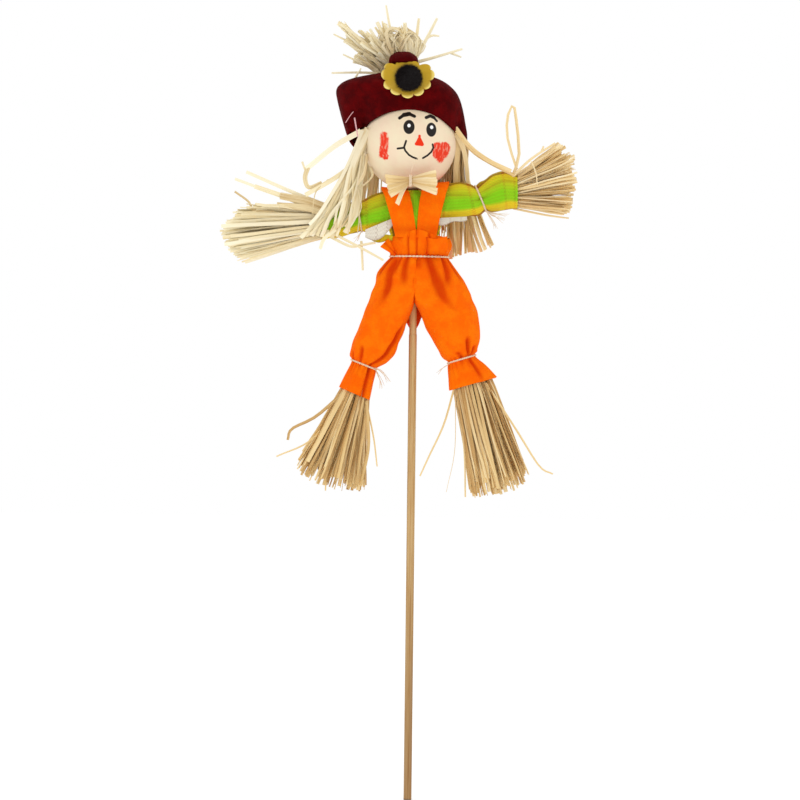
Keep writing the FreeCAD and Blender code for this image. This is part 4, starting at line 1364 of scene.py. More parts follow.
@dataclass
class Shirt:
    """Plaid cotton shirt: chest, two sleeves tied at the wrists and the loose hem."""

    wall: float = 0.0006
    half_turn: float = 0.030

    def chest(self) -> None:
        """Chest of the shirt under the straps."""
        rows = ((0.0, 13.4, 11.4, 351.0), (0.25, 16.4, 12.2, 359.0), (0.6, 17.2, 12.2, 370.0),
                (0.85, 15.0, 11.4, 378.0), (1.0, 8.0, 8.0, 382.0))

        def place(t: float, s: float) -> Vector:
            """Point of the chest."""
            wide, deep, height = along(rows, t)
            angle = TAU * s
            ripple = 0.35 * math.sin(angle * 11 + 2 * math.sin(7 * t))
            return mm(math.cos(angle) * (wide + ripple), math.sin(angle) * (deep + ripple), height)

        def flat(t: float, s: float) -> Point:
            """Place on the plaid, with a band down the middle."""
            return (t * 0.034, ((s - 0.75) * 0.096 + 0.0152))

        piece = Cloth("shirt_chest", 30, 120, place, PLAID, self.wall, flat=flat).build()
        settle(piece, Body.ROOT, "plaid_cloth", "shirt_body")

    def sleeve(self, side: Side) -> None:
        """One sleeve, from inside the chest to its open cuff."""
        rows = LEFT_SLEEVE if side is Side.LEFT else RIGHT_SLEEVE
        sign = side.value
        draw = random.Random(5 + sign)
        folds = [(draw.uniform(0, 360), draw.uniform(5, 9), draw.uniform(0.7, 1.5))
                 for _ in range(11)]

        def valley(t: float, s: float) -> float:
            """Depth of the folds at the wrist."""
            degrees = s * 360
            near = math.exp(-((t - WRIST_SHARE) / 0.10) ** 2)
            deep = 0.0
            for place_at, width, depth in folds:
                gap = (degrees - place_at + (t - WRIST_SHARE) * 40 + 180) % 360 - 180
                deep += depth * math.exp(-(gap / width) ** 2)
            drape = math.exp(-(((degrees - 62) + 26 * (t - 0.8)) / 5.0) ** 2)
            drape = 0.8 * drape * smooth(0.56, 0.7, t)
            lap = math.exp(-(((degrees - 66) - 20 * t) / 4.0) ** 2)
            lap = 0.9 * lap * (1 - smooth(0.4, 0.56, t))
            return deep * near + drape + lap

        def place(t: float, s: float) -> Vector:
            """Point of the sleeve."""
            upper_x, upper_z, lower_x, lower_z, deep = along(rows, t)
            upper, lower = Vector((upper_x, 0, upper_z)), Vector((lower_x, 0, lower_z))
            middle = (upper + lower) / 2
            angle = TAU * s
            out = (upper - lower).normalized()
            push = out * math.cos(angle) + Vector((0, -math.sin(angle), 0))
            forward = Vector((0, -deep * math.sin(angle), 0))
            point = middle + (upper - middle) * math.cos(angle) + forward
            lump = noise.noise(point * 0.16 + Vector((0, sign * 5, 0))) * 0.9 * smooth(0, 0.1, t)
            return (point + push * (lump - valley(t, s) * 0.8)) * MM

        def flat(t: float, s: float) -> Point:
            """Place on the plaid, mirrored behind."""
            turn = 2 * s if s <= 0.5 else 2 - 2 * s
            return (t * 0.066, turn * self.half_turn * 0.98 + 0.0003)

        # Painted shade in the folds at the wrist and along the drape.
        piece = Cloth(f"sleeve_cloth_{side.word}", 84, 100, place, PLAID, self.wall, flat=flat,
                      crease=lambda t, s: min(1.0, valley(t, s) * 0.55), lining=PLAID_BACK).build()
        crossing(piece, Body.ROOT, side.arm, mm(sign * 12, 0, 372), mm(sign * 30, 0, 372))
        settle(piece, side.arm, "plaid_cloth", f"sleeve_{side.word}")

    def hems(self) -> None:
        """Loose hem that shows its pale reverse below the sleeves."""
        def right(t: float, s: float) -> Vector:
            """Point of the pale hem on the right."""
            x = -30.5 + 17.5 * s
            top = 357.0 + 7.5 * s
            drop = 2.0 + 7.6 * math.sin(math.pi * min(1.0, 0.12 + s * 0.8))
            return mm(x, -10.4 - 1.6 * math.sin(math.pi * s) * t, top - drop * t)

        def left(t: float, s: float) -> Vector:
            """Point of the pale hem on the left."""
            x = 15.5 + 17.5 * s
            top = 364.9 + 1.2 * s
            drop = 4.6 - 2.6 * s + 0.6 * math.sin(s * 9)
            return mm(x, -9.0 - 1.2 * t + 2.4 * s, top - drop * t)

        def gold(t: float, s: float) -> Vector:
            """Point of the plaid hem in front."""
            return mm(-27 + 13.5 * s, -8.6, 355.4 - s * 1.6 - t * (4.6 + 1.2 * math.sin(s * 5)))

        for name, place, finish, flat in (
                ("shirt_hem_right", right, PLAID_BACK, (0.0195, 0.0105, 0.000155)),
                ("shirt_hem_left", left, PLAID_BACK, (0.018, 0.010, 0.00008)),
                ("shirt_hem_front", gold, PLAID, (0.0145, 0.010, 0.000078))):
            # Painted shade, darkening each hem towards its lower edge.
            piece = Cloth(name, 10, 28, place, finish, self.wall, False,
                          flat=lambda t, s: (s * 0.02, 0.021 + t * 0.006),
                          crease=lambda t, s: bump(t, 1.0, 0.10)).build()
            settle(piece, Body.ROOT, "plaid_cloth")

    def build(self) -> None:
        """Build the shirt and the wrist strings."""
        self.chest()
        for side in Side:
            self.sleeve(side)
        self.hems()
        tails = {
            Side.LEFT: [line_of((45, -6, 369.5), (50, -8, 366.5), (55, -8, 363.5)),
                        line_of((45, -6, 369.5), (49, -8, 364), (51, -9, 359)),
                        line_of((45, -6, 369.5), (52, -8, 368), (58, -7, 367))],
            Side.RIGHT: [line_of((-32.6, -6, 357), (-34, -8, 353.6), (-36.6, -8.4, 350.6))]}
        for side, rows in ((Side.LEFT, LEFT_SLEEVE), (Side.RIGHT, RIGHT_SLEEVE)):
            upper_x, upper_z, lower_x, lower_z, deep = along(rows, WRIST_SHARE)
            middle = mm((upper_x + lower_x) / 2, 0, (upper_z + lower_z) / 2)
            wide = mm(upper_x, 0, upper_z) - middle
            tie = twine(f"wrist_string_{side.word}", middle, wide * 1.03, mm(0, deep + 0.3, 0),
                        COTTON, 0.0013, tails[side])
            settle(tie, side.arm, "string", f"wrist_tie_{side.word}")


# ---- straps and bow ------------------------------------------------------------------------

@dataclass
class Straps:
    """Two felt straps from the waist over the shoulders to the back."""

    wall: float = 0.0012

    def strap(self, side: Side) -> None:
        """One strap."""
        if side is Side.LEFT:
            rows = ((0.0, 7.8, -13.1, 352.5, 12.2), (0.12, 8.6, -13.4, 361.0, 13.4),
                    (0.30, 10.6, -14.2, 374.0, 15.2), (0.42, 12.6, -12.6, 383.2, 16.2),
                    (0.50, 13.4, -4.0, 387.2, 16.4), (0.58, 13.0, 6.0, 386.2, 16.0),
                    (0.70, 11.6, 13.4, 377.0, 15.4), (1.0, 7.8, 13.6, 352.5, 13.4))
        else:
            rows = ((0.0, -5.0, -13.1, 352.5, 13.4), (0.12, -6.4, -13.4, 360.0, 14.2),
                    (0.30, -9.0, -14.2, 371.5, 15.6), (0.42, -11.2, -12.8, 379.6, 16.6),
                    (0.50, -12.4, -4.0, 383.4, 16.6), (0.58, -12.4, 6.0, 382.6, 16.2),
                    (0.70, -11.0, 13.4, 375.0, 15.4), (1.0, -5.4, 13.6, 352.5, 13.4))

        def place(t: float, s: float) -> Vector:
            """Point of the strap."""
            x, y, z, wide = along(rows, t)
            across = (s - 0.5) * wide
            curl = -0.25 * (2 * s - 1) ** 2
            front = -1 if y < 0 else 1
            wave = 0.35 * math.sin(t * 17 + s * 3 + side.value)
            slope = side.value * 0.10 * across if 0.36 < t < 0.64 else 0.0
            return mm(x + across, y + front * (curl + wave), z + slope)

        # Painted shadow across the strap just above where it goes in behind the ruffle.
        piece = Cloth(f"strap_felt_{side.word}", 80, 16, place, ORANGE, self.wall, False,
                      crease=lambda t, s: 0.5 * bump(t, 0.07, 0.05)).build()
        settle(piece, Body.ROOT, "orange_felt", f"strap_{side.word}")

    def build(self) -> None:
        """Build both straps."""
        for side in Side:
            self.strap(side)


@dataclass
class Bow:
    """Bow of folded raffia with a white thread round its knot."""

    knot: Point = (-2.7, 387.0)
    front: float = -27.5

    def build(self) -> None:
        """Build the wings, the tail and the thread."""
        draw = random.Random(21)
        strands = []
        wings = (((-18.6, 390.4), (-15.0, 376.6)), ((13.6, 393.8), (13.4, 378.4)))
        for k, (upper, lower) in enumerate(wings):
            for layer in range(2):
                count = 8
                for i in range(count):
                    share = (i + 0.5) / count
                    end = [upper[a] + (lower[a] - upper[a]) * share for a in range(2)]
                    y = self.front + 1.6 * layer
                    start = mm(self.knot[0], y - 0.3, self.knot[1] + (0.5 - share) * 3.6)
                    middle = mm((self.knot[0] + end[0]) / 2, y - 1.8 + draw.uniform(-0.3, 0.3),
                                self.knot[1] * 0.42 + end[1] * 0.58 + (0.5 - share) * 1.2)
                    tip = mm(end[0] + draw.uniform(-0.5, 0.5), y + draw.uniform(-0.6, 0.4), end[1])
                    strands.append(Strand([start, middle, tip], 0.0013, draw.uniform(0.3, 1.0),
                                          FACING, draw.uniform(-0.15, 0.15), 1.9, 0.7, 0.0003,
                                          draw.uniform(0, 99)))
        tail = line_of((-4.0, self.front + 1, 386.0), (-7.4, self.front + 2, 380.5),
                       (-10.6, -20.0, 372.8))
        strands.append(Strand(tail, 0.0022, 1.0, FACING, 0.2, 1.5, 0.2))
        piece = strips("bow_raffia", strands, TAN_RAFFIA, 12, 8, 0.28, 0.5)
        settle(piece, Body.ROOT, "straw", "bow_tie")
        loops = []
        for i in range(3):
            knots = []
            for k in range(17):
                angle = TAU * k / 16
                knots.append(mm(self.knot[0] + (i - 1) * 0.55,
                                self.front - 0.2 + 2.4 * math.cos(angle),
                                self.knot[1] + 3.5 * math.sin(angle)))
            loops.append(Strand(knots, 0.0006, 0.9, tip=1.0))
        hair = line_of((-2.6, self.front - 1, 391.6), (-1.4, self.front - 1.5, 396.0),
                       (1.2, self.front - 3.0, 400.5), (5.4, self.front - 3.0, 403.0))
        loops.append(Strand(hair, 0.00035, 0.9, tip=0.6))
        piece = strips("bow_thread_loop", loops, COTTON, 34, 6, 1.0, 0.0)
        settle(piece, Body.ROOT, "string", "bow_thread")


# ---- head ----------------------------------------------------------------------------------

@dataclass
class Head:
    """Foam ball under stretched cloth, with a painted face."""

    node: str = "head_cover"

    def build(self) -> None:
        """Build the ball's cloth."""
        middle, size = centre(self.node), span(self.node)
        radius = size.x / 2

        def place(t: float, s: float) -> Vector:
            """Point of the ball."""
            polar, angle = math.pi * (0.004 + 0.992 * t), TAU * s
            pull = smooth(0.80, 1.0, t)
            pleat = 1 - 0.012 * pull * (0.5 + 0.5 * math.cos(angle * 22))
            lump = 1 + 0.004 * noise.noise(Vector((math.cos(angle), math.sin(angle), t * 3)) * 1.6)
            reach = radius * pleat * lump
            return middle + Vector((math.sin(polar) * math.cos(angle) * reach,
                                    math.sin(polar) * math.sin(angle) * reach,
                                    math.cos(polar) * radius * (1 - 0.012 * pull)))

        finish = PaintedFace("painted_face", tuple(middle))
        piece = Cloth("head_cloth", 90, 132, place, finish, 0.0, True, (True, True)).build()
        piece.data.shade_smooth()
        settle(piece, Body.HEAD, "face_cloth", self.node)


KNOT_SHARE = 0.915
# Each row: share, centre x, y and z, half width, half depth and backward tip in degrees.
HAT_ROWS = (
    (0.00, -5.0, 6.0, 417.4, 37.6, 30.0, 33.0), (0.10, -5.8, 6.2, 421.4, 38.4, 31.0, 30.0),
    (0.34, -8.4, 6.0, 431.5, 38.8, 31.0, 19.0), (0.56, -11.6, 4.6, 442.0, 38.4, 29.4, 8.0),
    (0.64, -12.8, 4.0, 446.4, 36.4, 27.4, 4.5), (0.74, -12.8, 3.2, 450.6, 31.0, 22.8, 2.0),
    (0.84, -11.4, 2.0, 453.8, 22.0, 15.6, 0.0), (0.90, -9.4, 0.6, 456.4, 9.4, 7.4, 0.0),
    (0.915, -8.0, -1.0, 457.4, 5.6, 5.4, 0.0), (0.93, -7.9, -3.0, 458.0, 6.6, 7.0, 0.0),
    (0.955, -7.9, -9.6, 461.2, 9.0, 10.6, 0.0), (0.98, -7.9, -9.0, 465.6, 8.2, 9.4, 0.0),
    (1.00, -8.0, -6.0, 468.6, 4.2, 4.6, 0.0))
# Front edge of the hat across the forehead: x and z.
HAT_EDGE = ((-46.0, 415.6), (-43.7, 415.8), (-37.0, 419.4), (-30.2, 423.6), (-17.6, 429.8),
            (-3.8, 432.8), (6.4, 431.4), (14.2, 428.2), (22.7, 421.8), (28.0, 416.6), (33.1, 410.8),
            (36.0, 409.6))


@dataclass
class Hat:
    """Maroon felt hat, gathered into a knot at its top."""

    wall: float = 0.0014
    hug: float = 30.8
    ball: Vector = field(default_factory=lambda: centre("head_cover") / MM)

    def place(self, t: float, s: float) -> Vector:
        """Point of the felt's outer face."""
        x, y, z, wide, deep, tip = along(HAT_ROWS, t)
        angle = TAU * s
        cosine, sine = math.cos(angle), math.sin(angle)
        flatter = 0.90
        wide_share = math.copysign(abs(cosine) ** flatter, cosine)
        deep_share = math.copysign(abs(sine) ** flatter, sine)
        gather = math.exp(-((t - KNOT_SHARE) / 0.05) ** 2)
        pleat = (0.05 * gather * math.cos(angle * 13)
                 + 0.035 * smooth(0.94, 1, t) * math.sin(angle * 4))
        droop = 0.03 * smooth(0.3, 0.0, t) * math.sin(angle * 3 + 0.6)
        lump = noise.noise(Vector((cosine * 1.4, sine * 1.4, t * 3.1)))
        lump = lump * 0.022 * (1 - smooth(0.8, 0.9, t))
        reach = 1 + pleat + lump + droop
        lean = math.radians(tip)
        depth = deep_share * deep * reach
        sag = 0.06 * wide_share * wide * (1 - smooth(0, 0.4, t))
        point = Vector((x + wide_share * wide * reach, y + depth * math.cos(lean),
                        z - depth * math.sin(lean) - sag))
        if sine < 0:
            ball = self.ball
            edge_z = along(HAT_EDGE, point.x)[0]
            away = (self.hug ** 2 - (point.x - ball.x) ** 2 - (edge_z - ball.z) ** 2)
            edge_y = -math.sqrt(max(away, 0.0)) if away > 0 else 0.0
            edge = Vector((point.x, ball.y + min(edge_y, 6 * sine), edge_z))
            share = (1 - smooth(0.0, 0.5, t)) * smooth(0.0, 0.45, -sine)
            point = point.lerp(edge, share)
        return point * MM

    def build(self) -> None:
        """Build the hat, its string and the thread ends."""
        # Painted shade in the gathers under the knot.
        piece = Cloth("hat_felt", 96, 144, self.place, MAROON, self.wall, True, (False, True),
                      crease=lambda t, s: 0.9 * math.exp(-((t - KNOT_SHARE) / 0.02) ** 2)).build()
        settle(piece, Body.HEAD, "maroon_felt", "hat")
        tie = twine("hat_string", mm(-7.9, 0, 458.4), mm(5.9, 0, -0.4), mm(0, 5.4, 0.6),
                    COTTON, 0.0009)
        settle(tie, Body.HEAD, "string", "hat_tie")
        threads = [
            Strand(line_of((-15.4, -7.0, 466.2), (-9.0, -9.2, 464.8), (-2.6, -9.4, 461.0)),
                   0.0006, 0.9, tip=1.0),
            Strand(line_of((-43.6, -14.2, 423.4), (-41.0, -15.4, 427.4), (-38.8, -16.6, 430.2)),
                   0.0005, 0.9),
            Strand(line_of((-38.0, -16.6, 426.4), (-36.8, -17.4, 420.0), (-35.8, -18.0, 414.6)),
                   0.0009, 1.0)]
        piece = strips("hat_thread_ends", threads, PINK_THREAD, 14, 6, 1.0, 0.0)
        settle(piece, Body.HEAD, "string")


@dataclass
class Flower:
    """Felt sunflower with a fuzzy black pompom at its heart."""

    tip: float = math.radians(62)
    petals: int = 12
    radius: float = 16.4

    def petal_plate(self) -> None:
        """Scalloped felt disc."""
        turn = Matrix.Rotation(self.tip, 4, "X")
        middle = mm(-5.3, -22.4, 452.6)

        def place(t: float, s: float) -> Vector:
            """Point of the disc."""
            angle = TAU * s
            scallop = abs(math.cos(angle * self.petals / 2)) ** 0.6
            radius = self.radius * (0.83 + 0.17 * scallop + 0.02 * math.sin(angle * 5 + 1))
            reach = radius * t * (1 - 0.34 * smooth(0.2, 1.0, math.sin(angle)))
            lift = 1.0 * t * t + 0.7 * math.sin(angle * 5) * t * t + 0.5 * scallop * t ** 4
            return middle + turn @ mm(math.cos(angle) * reach, math.sin(angle) * reach, lift)

        piece = Cloth("sunflower_felt", 16, 192, place, GOLD, 0.0012, True).build()
        reach = piece.data.attributes.new("rim", "FLOAT", "POINT")
        reach.data.foreach_set("value", [min(1.0, (v.co - middle).length / (self.radius * MM))
                                         for v in piece.data.vertices])
        settle(piece, Body.HEAD, "yellow_felt", "sunflower_petals")

    def fuzz_tree(self) -> bpy.types.NodeTree:
        """Geometry node tree that plants tapered fibres on a ball and keeps the ball."""
        made = bpy.data.node_groups.new("fibres_on_ball", "GeometryNodeTree")
        face = made.interface
        face.new_socket("Geometry", in_out="INPUT", socket_type="NodeSocketGeometry")
        for label, value in (("Density", 1e6), ("Length", 0.002), ("Thickness", 0.0001)):
            face.new_socket(label, in_out="INPUT", socket_type=FLOAT).default_value = value
        face.new_socket("Seed", in_out="INPUT", socket_type="NodeSocketInt").default_value = 3
        face.new_socket("Material", in_out="INPUT", socket_type="NodeSocketMaterial")
        face.new_socket("Geometry", in_out="OUTPUT", socket_type="NodeSocketGeometry")
        tree = Tree(made)
        given = tree.add("NodeGroupInput").outputs
        points = tree.add("GeometryNodeDistributePointsOnFaces",
                          {"Mesh": given["Geometry"], "Density": given["Density"],
                           "Seed": given["Seed"]})
        fibre = tree.add("GeometryNodeMeshCone", {"Vertices": 3, "Radius Top": 0.00001,
                                                  "Radius Bottom": given["Thickness"],
                                                  "Depth": given["Length"]})
        tall = tree.add("FunctionNodeRandomValue", {2: 0.45, 3: 1.15, "Seed": given["Seed"]},
                        data_type="FLOAT")
        lean = tree.add("FunctionNodeRandomValue", {0: (-0.55,) * 3, 1: (0.55,) * 3,
                                                    "Seed": given["Seed"]},
                        data_type="FLOAT_VECTOR")
        way = tree.vector("ADD", points.outputs["Normal"], lean.outputs[0])
        turn = tree.add("FunctionNodeAlignRotationToVector", {"Vector": way}, axis="Z")
        size = tree.add("ShaderNodeCombineXYZ", {0: 1.0, 1: 1.0, 2: tall.outputs[1]})
        planted = tree.add("GeometryNodeInstanceOnPoints",
                           {"Points": points.outputs[0], "Instance": fibre.outputs[0],
                            "Rotation": turn.outputs[0], "Scale": size.outputs[0]})
        joined = tree.add("GeometryNodeJoinGeometry")
        tree.tree.links.new(planted.outputs[0], joined.inputs[0])
        tree.tree.links.new(given["Geometry"], joined.inputs[0])
        solid = tree.add("GeometryNodeRealizeInstances", {0: joined.outputs[0]})
        dressed = tree.add("GeometryNodeSetMaterial",
                           {"Geometry": solid.outputs[0], "Material": given["Material"]})
        result = tree.add("NodeGroupOutput")
        tree.feed(result.inputs["Geometry"], dressed.outputs[0])
        return made

    def pompom(self) -> None:
        """Ball of dense fibres."""
        middle = mm(-4.5, -28.6, 450.6)
        mesh = bmesh.new()
        bmesh.ops.create_icosphere(mesh, subdivisions=4, radius=0.0070)
        for vertex in mesh.verts:
            vertex.co *= 1 + 0.05 * noise.noise(vertex.co * 900)
            vertex.co += middle
        data = bpy.data.meshes.new("pompom_wool")
        mesh.to_mesh(data)
        mesh.free()
        piece = linked("pompom_wool", data)
        run_tree(piece, self.fuzz_tree(), Density=9.0e6, Length=0.0024, Thickness=0.00011, Seed=3,
                 Material=BLACK_WOOL.material())
        settle(piece, Body.HEAD, "black_pompom", "pompom")

    def build(self) -> None:
        """Build the flower."""
        self.petal_plate()
        self.pompom()


# ---- straw ---------------------------------------------------------------------------------

HEAD_X = -3.3
# Long single strands, listed one by one. Each row: points in millimetres, width in metres and tint.
HAIR_STRAWS = {
    Side.RIGHT: (
        (((-34, -10, 418.5), (-50, -12, 409), (-67.7, -12, 394.4)), 0.0036, 0.95),
        (((-66.5, -12, 396), (-68.5, -12, 389), (-66.0, -11, 383), (-58, -11, 386)), 0.0030, 0.35),
        (((-70.5, -11, 399), (-68, -12, 392)), 0.0014, 0.6),
        (((-40, -12, 396), (-52, -13, 387.5), (-68.2, -12, 378.1)), 0.0032, 0.55),
        (((-54, -13, 388), (-61, -13, 381), (-63, -13, 374), (-63.5, -12, 366)), 0.0007, 0.3),
        (((-33, -9, 410), (-35, -15.5, 390), (-40, -16, 368), (-41.5, -15, 354)), 0.0034, 0.95),
        (((-33, -9, 406), (-37, -15.5, 386), (-52, -16, 366), (-58, -14, 352)), 0.0036, 0.9),
        (((-30, -9, 404), (-32, -13.5, 392), (-37, -14, 384)), 0.0040, 0.6),
        (((-28, -6, 396), (-27, -9, 390), (-34, -11, 383)), 0.0034, 0.45),
        (((-52.7, -9, 352.5), (-40, -11, 346.5), (-32.6, -10, 347.4), (-24, -9, 349)), 0.0018,
         0.6),
        (((-33, -9, 350), (-32.4, -9, 342), (-31.8, -8.5, 331.6)), 0.0016, 0.5),
        (((-50, -10, 354), (-34, -11, 346), (-19, -10, 338)), 0.0017, 0.6)),
    Side.LEFT: (
        (((24.9, -8, 421.5), (34.4, -9, 409.5), (46, -11, 401), (60.1, -12, 394.4)), 0.0030, 0.6),
        (((25.6, -7, 420.5), (35.4, -8, 407.5), (47, -10, 399.6), (62.1, -12, 392.0)), 0.0022,
         0.35),
        (((23, -4, 424), (27, -2, 412), (26, 6, 396), (26, 12, 384)), 0.0040, 0.7),
        (((22, -6, 424), (30, -3, 410), (33, 6, 396), (34, 12, 384)), 0.0036, 0.85)),
}
TUFT_STRAWS = (
    (((-12, 4, 470), (-16.5, 3, 484), (-19.3, 2, 498.6)), 0.0022, 0.75),
    (((-2, 3, 468), (0, 3, 478), (1.5, 2, 490.6)), 0.0026, 0.5),
    (((-1, 3, 464), (6, 3, 477), (13.0, 2, 490.8)), 0.0026, 0.75),
    (((6, 3, 478), (10, 3, 480), (14.4, 2, 479.6)), 0.0018, 0.7),
    (((0, 3, 463), (14, 2, 467), (29.0, 1, 471.6)), 0.0022, 0.7),
    (((22, 2, 469), (28.4, 1, 466.4)), 0.0016, 0.8),
    (((-24, 6, 462), (-40, 5, 474), (-52.0, 4, 480.2)), 0.0016, 0.55),
    (((-20, 6, 456), (-36, 5, 456.4), (-53.0, 4, 455.8)), 0.0018, 0.7),
    (((-38, 4, 453.0), (-34.5, 4, 459)), 0.0014, 0.75),
    (((-24, 5, 458), (-36, 4, 463), (-46.0, 3, 467.4)), 0.0018, 0.7))
HAND_STRAWS = {
    Side.LEFT: (
        (((60, -4, 389), (65, -6, 404), (63.4, -6, 424), (61.2, -6, 436), (57.6, -6, 428),
          (58.2, -5, 414), (64, -5, 396)), 0.0021, 0.75),
        (((60, -6, 390), (72, -8, 402), (87.6, -8, 412.6)), 0.0018, 0.85),
        (((79, -8, 407), (80.4, -8, 410.6)), 0.0014, 0.8),
        (((72.6, -13, 400.6), (75.4, -14.5, 393.5), (76.4, -14, 386)), 0.0011, 0.95),
        (((62, 2, 372), (82, 0, 368), (97, -2, 366)), 0.0014, 0.9)),
    Side.RIGHT: (
        (((-52, -4, 371), (-76, -5, 380), (-105.5, -5, 392.5)), 0.0026, 0.85),
        (((-54, -5, 370), (-84, -6, 378), (-112.5, -6, 388.0)), 0.0022, 0.9),
        (((-58, -6, 368), (-78, -7, 376), (-100, -6, 383.5)), 0.0036, 0.55),
        (((-52, -7, 368), (-66, -8, 374), (-84, -8, 377.5)), 0.0060, 0.18),
        (((-52, -8, 365), (-66, -9, 370), (-86, -8, 372)), 0.0048, 0.3),
        (((-88, -8, 367.5), (-100, -8, 368.5), (-104, -8, 374), (-112.5, -8, 380)), 0.0016, 0.2),
        (((-49, -12, 357), (-56, -13, 351), (-58.5, -12, 344.5)), 0.0026, 0.8)),
}
FOOT_STRAWS = {
    Side.LEFT: (
        (((26, -6, 258), (20, -8, 236), (11, -9, 216), (5.4, -9, 203.4)), 0.0014, 0.55),
        (((46, -6, 262), (66, -7, 232), (80, -7, 210.5), (88.6, -7, 205.6)), 0.0014, 0.6),
        (((27, -5, 254), (27, -6, 220), (22, -6, 193.5)), 0.0012, 0.5),
        (((29, -5, 254), (33, -6, 220), (34, -6, 190.5)), 0.0014, 0.65)),
    Side.RIGHT: (
        (((-42, -5, 256), (-60, -6, 240), (-75, -6, 232), (-77.6, -6, 225)), 0.0022, 0.2),
        (((-40, -4, 254), (-62, -5, 226), (-84.6, -5, 214.5)), 0.0013, 0.6),
        (((-38, -4, 252), (-52, -5, 218), (-53.6, -5, 193.5)), 0.0013, 0.5),
        (((-29, -5, 250), (-24, -6, 228), (-21.4, -6, 209)), 0.0012, 0.6),
        (((-29, -6, 250), (-27, -7, 222), (-31.8, -6, 197)), 0.0024, 0.35)),
}


def loose(rows: Iterable, draw: random.Random, twist: float, tip: float,
          shade: float) -> list[Strand]:
    """Strands of one of the tables above, each with its own small twist."""
    return [Strand(line_of(*points), width, tint, FACING, draw.uniform(-twist, twist), tip, shade)
            for points, width, tint in rows]


